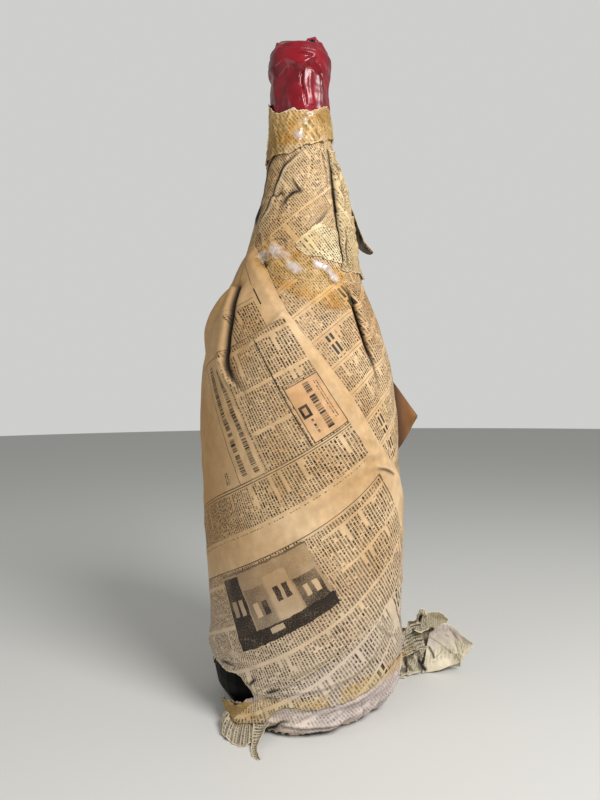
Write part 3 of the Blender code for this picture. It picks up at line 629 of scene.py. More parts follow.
def add(tree, kind, *values, **named):
    """Adds one node. Values go in order to the inputs that its settings show. A name in small letters is a
    setting, and one with a capital is an input. A node given as a value is linked from its first output."""
    made = tree.nodes.new(kind if kind.startswith("Node") else "ShaderNode" + kind)
    for key, value in named.items():
        if key.islower():
            setattr(made, key, value)
    shown = [socket for socket in made.inputs if socket.enabled]
    chosen = [
        (made.inputs[key.replace("_", " ")], value) for key, value in named.items() if not key.islower()
    ]
    for socket, value in (*zip(shown, values), *chosen):
        if isinstance(value, bpy.types.Node):
            value = next(output for output in value.outputs if output.enabled)
        if isinstance(value, bpy.types.NodeSocket):
            tree.links.new(value, socket)
        else:
            socket.default_value = value
    return made


def new_material(name):
    """An empty node material, with its tree and the place of each point on the object."""
    made = bpy.data.materials.new(name)
    made.use_nodes = True
    made.node_tree.nodes.clear()
    return made, made.node_tree, add(made.node_tree, "TexCoord").outputs["Object"]


def finish_material(made, shader, bump=None):
    """Gives a material its shader, with its bump."""
    if bump:
        made.node_tree.links.new(bump.outputs[0], shader.inputs["Normal"])
    add(made.node_tree, "OutputMaterial", Surface=shader)
    return made


def pattern(size):
    """The scale of a pattern whose features lie size millimetres apart."""
    return 1 / (size * MILLIMETRE)


def mottle(tree, where, size, low, high, least=0.0, most=1.0, detail=3.0, **more):
    """Uneven patches that lie size millimetres apart: least where the noise is under low, most over high."""
    noise = add(tree, "TexNoise", Vector=where, Scale=pattern(size), Detail=detail, **more)
    return add(tree, "MapRange", noise, low, high, least, most)


def greeked_page():
    """A node group that draws columns of make-believe print: strokes and gaps, and no letters.
    Its inputs are in millimetres; Ink is 1 where the paper is fully inked."""
    name = "greeked_page"
    if name in bpy.data.node_groups:
        return bpy.data.node_groups[name]
    tree = bpy.data.node_groups.new(name, "ShaderNodeTree")
    for socket in ("Across", "Along", "Pitch", "Column", "Seed", "Headings", "Rules", "Margin"):
        tree.interface.new_socket(socket, in_out="INPUT", socket_type="NodeSocketFloat")
    tree.interface.new_socket("Ink", in_out="OUTPUT", socket_type="NodeSocketFloat")
    across, along, pitch, column, seed, headings, rules, margin = add(tree, "NodeGroupInput").outputs[:8]
    line = add(tree, "Math", across, pitch, operation="DIVIDE")
    number = add(tree, "Math", line, operation="FLOOR")
    within = add(tree, "Math", line, number, operation="SUBTRACT")
    strip = add(tree, "Math", along, column, operation="DIVIDE")
    which = add(tree, "Math", strip, operation="FLOOR")
    place = add(tree, "Math", strip, which, operation="SUBTRACT")
    cell = add(tree, "CombineXYZ", number, which, seed)
    chance = add(tree, "TexWhiteNoise", cell, noise_dimensions="3D")
    chances = add(tree, "SeparateColor", chance.outputs["Color"])
    # A line's stroke fills the middle of its pitch
    off_middle = add(tree, "Math", within, 0.5, operation="SUBTRACT")
    off_middle = add(tree, "Math", off_middle, operation="ABSOLUTE")
    stroke = add(tree, "MapRange", off_middle, 0.24, 0.37, 1.0, 0.0, interpolation_type="SMOOTHSTEP")
    # Its words drift, so that no two lines have their gaps in the same places
    glare = add(tree, "Math", number, 7.31, seed, operation="MULTIPLY_ADD")
    word_place = add(tree, "CombineXYZ", along, glare)
    word = add(tree, "TexNoise", Vector=word_place, Scale=DRIFTS_PER_MILLIMETRE, Detail=0.0,
               noise_dimensions="2D")
    word = add(tree, "Math", word, WORD_DRIFT, operation="MULTIPLY")
    word = add(tree, "Math", along, 1 / WORD, word, operation="MULTIPLY_ADD")
    word = add(tree, "Math", word, operation="FRACT")
    word = add(tree, "Math", word, WORD_GAP_SHARE, operation="GREATER_THAN")
    letter = add(tree, "TexNoise", Vector=word_place, Scale=LETTERS_PER_MILLIMETRE, Detail=1.0,
                 noise_dimensions="2D")
    letter = add(tree, "MapRange", letter, 0.38, 0.60, 0.28, 1.15)
    text = add(tree, "Math", stroke, word, operation="MULTIPLY")
    text = add(tree, "Math", text, letter, operation="MULTIPLY")
    # The last line of a paragraph stops early
    last = add(tree, "Math", chances.outputs[0], 0.13, operation="LESS_THAN")
    short = add(tree, "Math", chances.outputs[1], 0.7, 0.3, operation="MULTIPLY_ADD")
    beyond = add(tree, "Math", place, short, operation="GREATER_THAN")
    gone = add(tree, "Math", last, beyond, operation="MULTIPLY")
    kept = add(tree, "Math", 1.0, gone, operation="SUBTRACT")
    text = add(tree, "Math", text, kept, operation="MULTIPLY")
    # Some stretches of a column open with a heading, two large lines deep
    block = add(tree, "Math", line, STRETCH_LINES, operation="DIVIDE")
    block_number = add(tree, "Math", block, operation="FLOOR")
    block_cell = add(tree, "CombineXYZ", block_number, which, seed)
    block_chance = add(tree, "TexWhiteNoise", block_cell, noise_dimensions="3D")
    headed = add(tree, "Math", block_chance, headings, operation="LESS_THAN")
    depth = add(tree, "Math", block, block_number, operation="SUBTRACT")
    top = add(tree, "Math", depth, HEADING_LINES / STRETCH_LINES, operation="LESS_THAN")
    heading = add(tree, "Math", headed, top, operation="MULTIPLY")
    big = add(tree, "Math", depth, STRETCH_LINES / 2, operation="MULTIPLY")
    big = add(tree, "Math", big, operation="FRACT")
    big = add(tree, "Math", big, 0.5, 0.28, operation="COMPARE")
    big_word = add(tree, "Math", along, 1 / LARGE_WORD, block_chance, operation="MULTIPLY_ADD")
    big_word = add(tree, "Math", big_word, operation="FRACT")
    big_word = add(tree, "Math", big_word, LARGE_GAP_SHARE, operation="GREATER_THAN")
    big = add(tree, "Math", big, big_word, operation="MULTIPLY")
    mixed = add(tree, "Mix", heading, text, big, data_type="FLOAT")
    # Columns keep a margin, and some pages have a rule between them
    half = add(tree, "Math", margin, column, operation="DIVIDE")
    half = add(tree, "Math", 0.5, half, operation="SUBTRACT")
    inside = add(tree, "Math", place, 0.5, half, operation="COMPARE")
    mixed = add(tree, "Math", mixed, inside, operation="MULTIPLY")
    border = add(tree, "Math", place, 0.5, operation="SUBTRACT")
    border = add(tree, "Math", border, operation="ABSOLUTE")
    border = add(tree, "Math", 0.5, border, operation="SUBTRACT")
    border = add(tree, "Math", border, column, operation="MULTIPLY")
    border = add(tree, "Math", border, HALF_RULE, operation="LESS_THAN")
    border = add(tree, "Math", border, rules, operation="MULTIPLY")
    add(tree, "NodeGroupOutput", add(tree, "Math", mixed, border, operation="MAXIMUM"))
    return tree


def printed(tree, across, along, pitch=3.0, column=37.0, seed=0.0, headings=0.1, rules=0.0, margin=1.6):
    """One use of the greeked page."""
    given = (across, along, pitch, column, seed, headings, rules, margin)
    return add(tree, "Group", *given, node_tree=greeked_page())


def inside_box(tree, across, along, box):
    """1 inside a box given by its lowest and highest place across and along, in millimetres."""
    inside = [
        add(tree, "Math", spot, (low + high) / 2, (high - low) / 2, operation="COMPARE")
        for spot, low, high in ((across, *box[:2]), (along, *box[2:]))
    ]
    return add(tree, "Math", *inside, operation="MULTIPLY")


def with_plates(tree, across, along, ink, paper, plates):
    """Lays printed blocks over a page: bare paper, rules, tones, tinted panels and lines of large print."""
    # The tones are uneven, with edges that wander by a millimetre or so
    grain = add(tree, "CombineXYZ", across, along)
    wobble = add(tree, "TexNoise", Vector=grain, Scale=0.11, Detail=3.0, noise_dimensions="2D")
    wavy = add(tree, "Math", wobble, 2.4, -1.2, operation="MULTIPLY_ADD")
    wavy_across = add(tree, "Math", across, wavy, operation="ADD")
    wavy_along = add(tree, "Math", along, wavy, operation="SUBTRACT")
    speck = add(tree, "TexNoise", Vector=grain, Scale=0.9, Detail=2.0, noise_dimensions="2D")
    speck = add(tree, "MapRange", speck, 0.3, 0.7, 0.72, 1.15)
    for kind, box, value in plates:
        tone = kind == "tone"
        inside = inside_box(tree, wavy_across if tone else across, wavy_along if tone else along, box)
        if kind == "panel":
            paper = add(tree, "Mix", inside, paper, colour(value), data_type="RGBA", blend_type="MULTIPLY")
            continue
        if tone:
            value = add(tree, "Math", speck, value, operation="MULTIPLY")
        elif kind == "words":
            pitch, seed = value
            value = printed(tree, across, along, pitch, ENDLESS, seed, 0.0, 0.0, 0.0)
        ink = add(tree, "Mix", inside, ink, value, data_type="FLOAT")
    return ink, paper


def newsprint(name, tint, shade, ink_tint="#281F18", plates=(), strength=1.0, foot=None, shoulder_shade=None,
              left_side_shade=0.62, flat=False, **columns):
    """Newsprint: groundwood paper, pressed thin and left matt, so it yellows and keeps its creases. It gives
    the eye a warm flat brown, with dark oily print, and pale fibres wherever it is torn."""
    made, tree, where = new_material(name)
    spot = add(tree, "SeparateXYZ", where)
    if flat:
        across, along = (add(tree, "Math", spot.outputs[k], 1 / MILLIMETRE,
                             operation="MULTIPLY") for k in (0, 1))
    else:
        across, along = add(tree, "SeparateXYZ", add(tree, "UVMap", uv_map="page")).outputs[:2]
    wear, fold = (add(tree, "SeparateXYZ", add(tree, "UVMap", uv_map=layer)) for layer in ("wear", "fold"))
    text = printed(tree, across, along, **columns)
    # Yellowing and damp stains some 70 mm apart, and the paper's own cloudiness, some 8 mm
    stain = mottle(tree, where, 71.43, 0.40, 0.64, detail=4.0, Roughness=0.6)
    paper = add(tree, "Mix", stain, colour(tint), colour(shade), data_type="RGBA")
    cloud = mottle(tree, where, 8.333, 0.3, 0.7, 0.86, 1.10)
    cloudy = add(tree, "CombineColor", cloud, cloud, cloud)
    paper = add(tree, "Mix", 1.0, paper, cloudy, data_type="RGBA", blend_type="MULTIPLY")
    # Painted shade darkens the left side, away from the lamps, and on the large sheet the part high up by the
    # shoulder. Some sheets also have a tint low down
    for axis, start, stop, most, shade_and_tint in (
        (0, 0.01, -0.09, left_side_shade, "#A27B4A"), (2, 0.17, 0.05, 0.85, foot), (2, 0.385, 0.450, 0.55, shoulder_shade),
    ):
        if shade_and_tint:
            share = add(tree, "MapRange", spot.outputs[axis], start, stop, 0.0, most)
            paper = add(tree, "Mix", share, paper, colour(shade_and_tint), data_type="RGBA")
    ink, paper = with_plates(tree, across, along, text, paper, plates)
    # Ink is patchy, and rubs off along the folds
    patch = mottle(tree, where, 22.22, 0.3, 0.7, 0.78, 1.15)
    rubbed = add(tree, "MapRange", wear.outputs[1], 0.25, 1.0, strength, strength * 0.5)
    ink = add(tree, "Math", ink, patch, operation="MULTIPLY")
    ink = add(tree, "Math", ink, rubbed, operation="MULTIPLY", use_clamp=True)
    face = add(tree, "Mix", ink, paper, colour(ink_tint), data_type="RGBA")
    # Torn edges show about two millimetres of pale fibre
    torn = add(tree, "TexNoise", Vector=where, Scale=pattern(3.846), Detail=2.0)
    torn = add(tree, "Math", wear.outputs[0], torn, operation="GREATER_THAN")
    torn = add(tree, "Math", torn, 0.75, operation="MULTIPLY")
    # A torn lip shows a rim of pale fibre and a folded lip a painted highlight. Painted shade darkens the
    # folds, the gaps and the ground beside lips, down to near black
    rim = add(tree, "Math", fold.outputs[1], 0.8, operation="MULTIPLY", use_clamp=True)
    painted_fold_shade = add(tree, "MapRange", fold.outputs[0], 0.05, 0.85, 0.0, 0.985)
    for share, tone in ((torn, "#E8D6B2"), (rim, "#EBDAB6"), (painted_fold_shade, "#170F09")):
        face = add(tree, "Mix", share, face, colour(tone), data_type="RGBA")
    # Crumples some 30 mm apart, and fibres drawn at 2 mm, coarser than real ones, so that they show
    crumple = add(tree, "TexNoise", Vector=where, Scale=pattern(29.41), Detail=3.0, Roughness=0.5,
                  Distortion=0.6, noise_type="RIDGED_MULTIFRACTAL")
    creased = add(tree, "Bump", Height=crumple, Strength=0.35, Distance=0.0011)
    fibre = add(tree, "TexNoise", Vector=where, Scale=pattern(2.381), Detail=4.0, Roughness=0.7)
    bump = add(tree, "Bump", Height=fibre, Strength=0.25, Distance=0.0006, Normal=creased)
    rough = add(tree, "MapRange", ink, 0.0, 1.0, 0.74, 0.55)
    shader = add(tree, "BsdfPrincipled", Base_Color=face, Roughness=rough, IOR=1.5, Specular_IOR_Level=0.28)
    return finish_material(made, shader, bump)


# Where a white glare is painted on the tape: bearing and height. Round each place more glare is painted
# within the first distance, and less and less so out to the second
GLARE_PLACES = (
    (-2, 0.580), (8, 0.592), (20, 0.603), (-24, 0.461), (-16, 0.452), (-8, 0.441), (-2, 0.435), (14, 0.446),
    (20, 0.440), (26, 0.433), (30, 0.428),
)
GLARE_SIZES = (0.002, 0.011)
GLARE_SHARE = 0.17


def cellulose_tape():
    """Clear cellulose film, cast smooth and gummed, gone amber with age. It tints the print beneath it in
    patches, and has a painted white glare in patches, along its wrinkles and round the listed places."""
    made, tree, where = new_material("aged_cellulose_tape")
    cloud = mottle(tree, where, 26.32, 0.52, 0.70, detail=4.0)
    tint = add(tree, "Mix", cloud, colour("#FFFDF6"), colour("#FDF2DC"), data_type="RGBA")
    clear = add(tree, "BsdfTransparent", tint)
    wrinkle = add(tree, "TexNoise", Vector=where, Scale=pattern(16.67), Detail=3.0, Distortion=1.2,
                  noise_type="RIDGED_MULTIFRACTAL")
    line = add(tree, "MapRange", wrinkle, 1.05, 1.45)
    # Patches of painted white glare, with more round the listed places
    away = add(tree, "TexNoise", Vector=where, Scale=pattern(33.33), Detail=5.0, Roughness=0.65)
    for bearing, height in GLARE_PLACES:
        middle = at(sample(reached, bearing, height), bearing, height).tolist()
        apart = add(tree, "VectorMath", where, middle, operation="DISTANCE")
        near = add(tree, "MapRange", apart, *GLARE_SIZES, GLARE_SHARE, 0.0)
        away = add(tree, "Math", away, near, operation="ADD")
    away = add(tree, "MapRange", away, 0.58, 0.72)
    glare = add(tree, "Math", line, away, operation="MAXIMUM")
    bump = add(tree, "Bump", Height=wrinkle, Strength=0.4, Distance=0.0008)
    glare_tint = add(tree, "Mix", glare, colour("#D6B478"), colour("#E6DDE0"), data_type="RGBA")
    gum = add(tree, "BsdfPrincipled", Base_Color=glare_tint, Roughness=0.22, IOR=1.47, Specular_IOR_Level=0.8,
              Coat_Weight=0.6, Coat_Roughness=0.12, Normal=bump, Coat_Normal=bump)
    # The gum shows a little everywhere, and much more where the white glare is painted
    share = add(tree, "Math", cloud, 0.04, 0.04, operation="MULTIPLY_ADD")
    share = add(tree, "Math", glare, 0.42, share, operation="MULTIPLY_ADD")
    return finish_material(made, add(tree, "MixShader", share, clear, gum))


def sealing_wax():
    """Sealing wax: rosin and shellac with vermilion, melted and poured over the cork. It sets glossy and
    deep red, with thick dark runs and pinkish highlights."""
    made, tree, where = new_material("dipped_sealing_wax")
    depth = mottle(tree, where, 31.25, 0.35, 0.65)
    tint = add(tree, "Mix", depth, colour("#94091F"), colour("#5E0412"), data_type="RGBA")
    # Painted shade deep in the hollow of the burst bubble
    away = add(tree, "VectorMath", where, CRATER_PLACE, operation="DISTANCE")
    painted_crater_shade = add(tree, "MapRange", away, 0.75 * CRATER_RADIUS, 1.05 * CRATER_RADIUS, 1.0, 0.0)
    tint = add(tree, "Mix", painted_crater_shade, tint, colour("#0C0507"), data_type="RGBA")
    rough = mottle(tree, where, 18.18, 0.35, 0.7, 0.20, 0.40)
    skin = add(tree, "TexNoise", Vector=where, Scale=pattern(23.81), Detail=3.0, Distortion=0.5)
    bump = add(tree, "Bump", Height=skin, Strength=0.3, Distance=0.0012)
    shader = add(tree, "BsdfPrincipled", Base_Color=tint, Roughness=rough, IOR=1.48,
                 Specular_IOR_Level=0.42, Subsurface_Weight=0.04, Subsurface_Scale=0.002, Coat_Weight=0.18,
                 Coat_Roughness=0.18)
    return finish_material(made, shader, bump)


def kraft_board():
    """Kraft board: unbleached pulp pressed thick. It is a warm orange brown, with darker fibres, and painted
    shadow where it goes under the sheet."""
    made, tree, where = new_material("kraft_board")
    # Fibres some 4 mm apart that run 20 mm upwards
    stretch = add(tree, "Mapping", Vector=where, Scale=(pattern(3.846), pattern(3.846), pattern(20.0)))
    fibre = add(tree, "TexNoise", Vector=stretch, Scale=1.0, Detail=4.0)
    tint = add(tree, "Mix", fibre, colour("#94632F"), colour("#6A431D"), data_type="RGBA")
    fold = add(tree, "SeparateXYZ", add(tree, "UVMap", uv_map="fold"))
    # Painted shadow where the corner goes under the sheet
    tint = add(tree, "Mix", fold, tint, colour("#4A2A10"), data_type="RGBA")
    bump = add(tree, "Bump", Height=fibre, Strength=0.35, Distance=0.0005)
    return finish_material(made, add(tree, "BsdfPrincipled", Base_Color=tint, Roughness=0.6, IOR=1.5), bump)


def bottle_glass():
    """Antique green bottle glass, blown in a mould: so dark that it looks black, with sharp reflections."""
    made, tree, where = new_material("antique_green_glass")
    wave = add(tree, "TexNoise", Vector=where, Scale=pattern(33.33), Detail=2.0)
    tint = add(tree, "Mix", wave, colour("#020302"), colour("#050704"), data_type="RGBA")
    bump = add(tree, "Bump", Height=wave, Strength=0.1, Distance=0.002)
    shader = add(tree, "BsdfPrincipled", Base_Color=tint, Roughness=0.42, IOR=1.52, Specular_IOR_Level=0.03)
    return finish_material(made, shader, bump)


def red_wine():
    """Red wine: a clear liquid, so deep here that only its edge shows any red."""
    made, tree, where = new_material("red_wine")
    cloud = add(tree, "TexNoise", Vector=where, Scale=pattern(83.33))
    tint = add(tree, "Mix", cloud, colour("#3A0410"), colour("#52081A"), data_type="RGBA")
    shader = add(tree, "BsdfPrincipled", Base_Color=tint, Roughness=0.03, IOR=1.34, Transmission_Weight=0.5)
    return finish_material(made, shader)


def natural_cork():
    """Natural cork, punched from bark: soft tan with small dark pores that run across it."""
    made, tree, where = new_material("natural_cork")
    stretch = add(tree, "Mapping", Vector=where, Scale=(pattern(1.429), pattern(3.846), pattern(3.846)))
    pore = add(tree, "TexNoise", Vector=stretch, Scale=1.0, Detail=3.0)
    pore = add(tree, "MapRange", pore, 0.56, 0.64)
    tint = add(tree, "Mix", pore, colour("#C49A6C"), colour("#6E4526"), data_type="RGBA")
    bump = add(tree, "Bump", Height=pore, Strength=-0.4, Distance=0.0005)
    return finish_material(made, add(tree, "BsdfPrincipled", Base_Color=tint, Roughness=0.82, IOR=1.45),
                           bump)


# The printed blocks of the large sheet: kind, box (across and along, in millimetres from the crossing of the
# double rule and the bottle's front), and what it holds
FRONT_PLATES = (
    ("tone", (-158, -41, -133, -66), 0.42), ("tone", (-158, -128, -133, -70), 1.15),
    ("tone", (-152, -144, -104, -90), 0.5), ("tone", (-140, -133, -104, -90), 0.3),
    ("tone", (-126, -98, -133, -84), 0.66), ("tone", (-120, -113, -110, -97), 0.06),
    ("tone", (-109, -102, -110, -97), 1.1), ("tone", (-96, -70, -133, -78), 0.22),
    ("tone", (-90, -84, -104, -90), 1.1), ("tone", (-80, -74, -104, -90), 1.0),
    ("tone", (-68, -44, -133, -92), 0.9), ("tone", (-62, -57, -112, -101), 0.1),
    ("tone", (-53, -48, -112, -101), 0.1), ("tone", (-158, -41, -133, -120), 1.2),
    ("tone", (-112, -96, -127, -122), 0.3), ("tone", (-158, -41, -68, -66), 0.8),
    ("bare", (-41, 46, -66, -63), 0.0), ("bare", (-260, 60, -63, -39.5), 0.0),
    ("bare", (48, 260, -400, 400), 0.0),
    ("bare", (-260, -77, 3, 118), 0.0), ("bare", (-77, -42, 3, 118), 0.0),
    ("bare", (-260, -12, 118, 400), 0.0),
    ("bare", (-12, 60, 150, 400), 0.0), ("bare", (29, 60, 119, 150), 0.0),
    ("rule", (0, 30, 149.6, 150.3), 0.6),
    ("words", (-40, -27, -130, -67), (2.6, 31.0)), ("words", (-70, -58, 8, 112), (12.0, 11.0)),
    ("words", (-54.5, -43.5, 6, 104), (11.0, 23.0)), ("words", (-41, -37, 4, 84), (3.4, 5.0)),
    ("words", (-97, -90, 7, 18), (3.5, 8.0)),
    ("rule", (-260, 48, -0.6, 0.4), 0.8), ("rule", (-260, 48, 1.8, 2.6), 0.75),
    ("rule", (-260, 46.5, -64.0, -63.1), 0.8), ("rule", (45.8, 46.7, -100, -63.1), 0.8),
    ("rule", (8.9, 10.3, 3, 116), 1.0), ("rule", (-76.8, -75.9, 3, 118), 0.8),
    ("rule", (-200, 40, 117.2, 118.1), 0.75), ("rule", (33.4, 35.0, 140, 158), 1.0),
    ("rule", (33.6, 34.4, 162, 200), 0.75), ("rule", (12, 48, 60.4, 61.2), 0.7),
    ("rule", (12, 48, 62.4, 63.2), 0.7),
    ("panel", (13.5, 47.5, 4, 59), "#FFF1E8"), ("bare", (13.5, 47.5, 4, 59), 0.0),
    ("rule", (13.2, 14.1, 4, 59), 0.85), ("rule", (46.9, 47.8, 4, 59), 0.85),
    ("rule", (13.5, 47.5, 3.6, 4.5), 0.85), ("rule", (13.5, 47.5, 58.5, 59.4), 0.85),
    ("words", (28.0, 38.0, 9, 56), (9.5, 3.0)), ("words", (21, 24.5, 10, 25), (3.4, 2.0)),
    ("words", (40.5, 43.5, 14, 54), (3.0, 2.0)), ("rule", (16, 25, 27, 39), 0.9),
    ("rule", (18.5, 22.5, 29.5, 36.5), 0.25),
)
SIDE_PLATES = (
    ("rule", (-44, -15, -175, -143), 0.8), ("words", (-42, -17, -172, -146), (8.0, 2.0)),
)
LOWER_PLATES = (
    ("bare", (-8, 3, -230, -182), 0.0), ("rule", (2.2, 3.6, -235, -182), 1.0),
    ("words", (14, 40, -216, -196), (9.0, 6.0)),
)


# Settings and pieces


class BottleColours(bpy.types.PropertyGroup):
    """Colours of the stage."""

    floor: bpy.props.FloatVectorProperty(
        name="Floor", description="Colour of the floor that the bottle stands on", subtype="COLOR", size=4,
        default=colour("#D9D8D4"), min=0.0, max=1.0,
    )
    wall: bpy.props.FloatVectorProperty(
        name="Background", description="Colour of the background", subtype="COLOR", size=4,
        default=colour("#C9CAC8"), min=0.0, max=1.0,
    )


class BottleSizes(bpy.types.PropertyGroup):
    """Sizes that the wrapping can be given."""

    crumple: bpy.props.FloatProperty(
        name="Crumple", description="Height of the wrapping's larger dents", default=0.0009, min=0.0,
        max=0.003, unit="LENGTH",
    )
    wrinkle: bpy.props.FloatProperty(
        name="Wrinkle", description="Height of the wrapping's creases", default=0.0004, min=0.0, max=0.002,
        unit="LENGTH",
    )
    pleat: bpy.props.FloatProperty(
        name="Pleat", description="Width of the large pleat on the left", default=0.0135, min=0.005,
        max=0.03, unit="LENGTH",
    )


def body_bumps(seed, more=1.0):
    """Dents and creases of a sheet on the body, which only ever stand out."""
    sizes = bpy.context.scene.bottle_sizes

    def bumps(bearing, height):
        dents = ripples(bearing, height, 0.075, 4)
        creases = ripples(bearing, height, 0.030, seed, slant=38.0, spread=28.0, sharp=True)
        return sizes.crumple * (dents + 1.2) * 0.5 + sizes.wrinkle * more * np.maximum(creases, -0.3)

    return bumps


def neck_bumps(seed, size, length=0.016):
    """Sharp small creases of a sheet on the neck."""

    def bumps(bearing, height):
        return size * (0.6 + ripples(bearing, height, length, seed, sharp=True, count=8, radius=0.05))

    return bumps


# In front the print keeps its scale on the paper, which lies this far off the glass. From the first of these
# bearings to the second, that gives way to one radius for all heights
PRINT_OFF = 0.006
PRINT_STEADY = (60.0, 110.0)


def print_on(**turned):
    """The print's coordinates of a sheet, with its page turned or shifted."""

    def page_of(bearing, height):
        local = sample(GLASS, bearing * 0.0, height) + PRINT_OFF
        steady = step(*PRINT_STEADY, np.abs(bearing))
        return page(bearing, height, local * (1 - steady) + REACH * steady, **turned)

    return page_of


class BOTTLE_OT_contents(bpy.types.Operator):
    """Finish the glass, the wine, the cork and the paper under the foot"""

    bl_idname = "bottle.contents"
    bl_label = "Glass, wine and cork"

    def execute(self, context):
        folded = newsprint("folded_newsprint", "#A9927B", "#97836F", flat=True)
        for node, material in (
            ("glass_bottle", bottle_glass()), ("wine", red_wine()), ("cork", natural_cork()),
            ("foot_fold", folded),
        ):
            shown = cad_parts[node]
            shown.data.materials.clear()
            shown.data.materials.append(material)
            shown.data.shade_smooth()
        return {"FINISHED"}


# Flat faces of the wax on the neck, where fingers pressed it: bearing, and distance from the axis
WAX_FACES = (
    (-75, 0.0297), (-42, 0.0289), (-10, 0.0299), (28, 0.0301), (66, 0.0297), (104, 0.0304), (142, 0.0298),
    (180, 0.0305), (218, 0.0298), (252, 0.0304),
)
WAX_SHARP = 2600.0
WAX_NECK = 0.03
# Ridges and clefts in the wax: line, width and rise
WAX_LINES = (
    (((9, 0.652), (4, 0.642), (3, 0.634), (9, 0.624), (12, 0.610)), 0.0013, -0.0030),
    (((-25, 0.664), (-28, 0.652), (-28, 0.635), (-26, 0.622)), 0.0015, 0.0014),
    (((-52, 0.660), (-56, 0.645), (-55, 0.625), (-58, 0.608)), 0.0014, -0.0016),
    (((24, 0.648), (20, 0.632), (26, 0.612)), 0.0022, 0.0014),
    (((40, 0.655), (47, 0.640), (45, 0.620), (50, 0.606)), 0.0016, 0.0016),
    (((-30, 0.6655), (-22, 0.664), (-16, 0.657), (-14, 0.650)), 0.0018, 0.0012),
    (((-6, 0.6655), (8, 0.664), (27, 0.662), (14, 0.655), (4, 0.650)), 0.0022, 0.0016),
    (((44, 0.646), (52, 0.640), (60, 0.633)), 0.0016, 0.0010),
    (((-24, 0.6195), (-8, 0.6180), (6, 0.6185)), 0.0030, 0.0012),
    (((112, 0.655), (118, 0.635), (114, 0.618)), 0.0024, 0.0020),
    (((176, 0.658), (180, 0.640), (183, 0.625)), 0.0026, 0.0022),
    (((238, 0.656), (233, 0.638)), 0.0022, 0.0018),
)
WAX_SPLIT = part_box("wax_crown")[0].z
WAX_TOP = WAX_SPLIT + 0.0261
CROWN_SLOPE = 0.76
WAX_LIP = 0.0336
WAX_LIP_FOOT = 0.6515
WAX_COLUMNS = 280
SLEEVE_ROWS = 130
CROWN_ROWS = 90
# The sleeve: the cut under the crown, its least skin, its thickness low down and how soon it grows from that
WAX_CUT = 0.00005
WAX_LEAST = 0.0004
SLEEVE_THIN = 0.001
SLEEVE_TAPER = 0.012
# The hollow round the lip of the glass: its lower end, its radius, and its roof's radius and rounding
HOLLOW_FOOT = 0.6555
HOLLOW_RADIUS = 0.0313
ROOF_RADIUS = 0.0293
ROOF_ROUNDING = 0.002
LUMP_PLACE = (0.0138, -0.0095, 0.6856)
LUMP_RADIUS = 0.0070
CRATER_PLACE = (0.0130, -0.0162, 0.6843)
CRATER_RADIUS = 0.0040
# The crown's outline: distance over it from rim to middle, height and radius, in shares of its own
CROWN_OUTLINE = (
    (0.0, 0.0, 1.0), (0.14, 0.14, 0.965), (0.32, 0.39, 0.87), (0.50, 0.66, 0.76), (0.66, 0.94, 0.58),
    (0.76, 1.0, 0.46), (1.0, 1.0, 0.0),
)


def wax_skin(bearing, height):
    """The radius of the wax on the neck and up over the lip: pressed flat on the neck, and thicker above."""
    turn = np.radians(bearing)
    faces = 0.0
    for middle, distance in WAX_FACES:
        facing = np.cos(turn - math.radians(middle))
        lean = distance + 0.0007 * np.sin(height * 170.0 + middle)
        faces = faces + np.exp(-WAX_SHARP * (lean / np.maximum(facing, 0.3) - WAX_NECK))
    neck = WAX_NECK - np.log(faces) / WAX_SHARP
    uneven = 0.0032 * ripples(bearing, 0.0, 0.030, 33, radius=WAX_LIP)
    lip = WAX_LIP + 0.0009 * ripples(bearing, height, 0.024, 31, radius=WAX_LIP, count=6)
    share = step(WAX_LIP_FOOT - 0.004, WAX_LIP_FOOT + 0.006, height + uneven)
    radius = neck * (1 - share) + lip * share
    for points, width, rise in WAX_LINES:
        distance, place = from_line(points, bearing, height)[:2]
        radius = radius + rise * bell(distance, width) * rounded(place)
    return radius + 0.00020 * ripples(bearing, height, 0.011, 35, radius=WAX_LIP)


def shell(name, outer, inner):
    """A closed skin between an outer and an inner grid of places round the axis, both from the foot up."""
    rows, columns = outer.shape[:2]
    other = inner.shape[0]
    ring = np.vstack([outer.reshape(-1, 3), inner[::-1].reshape(-1, 3)])
    index = np.arange((rows + other) * columns).reshape(rows + other, columns)
    index = np.vstack([index, index[:1]])
    right = np.roll(index, -1, 1)
    faces = np.stack([index[:-1], right[:-1], right[1:], index[1:]], axis=-1).reshape(-1, 4)
    mesh = bpy.data.meshes.new(name)
    mesh.from_pydata(ring.tolist(), [], faces.tolist())
    mesh.validate()
    mesh.shade_smooth()
    mesh.set_sharp_from_angle(angle=math.radians(55))
    return mesh


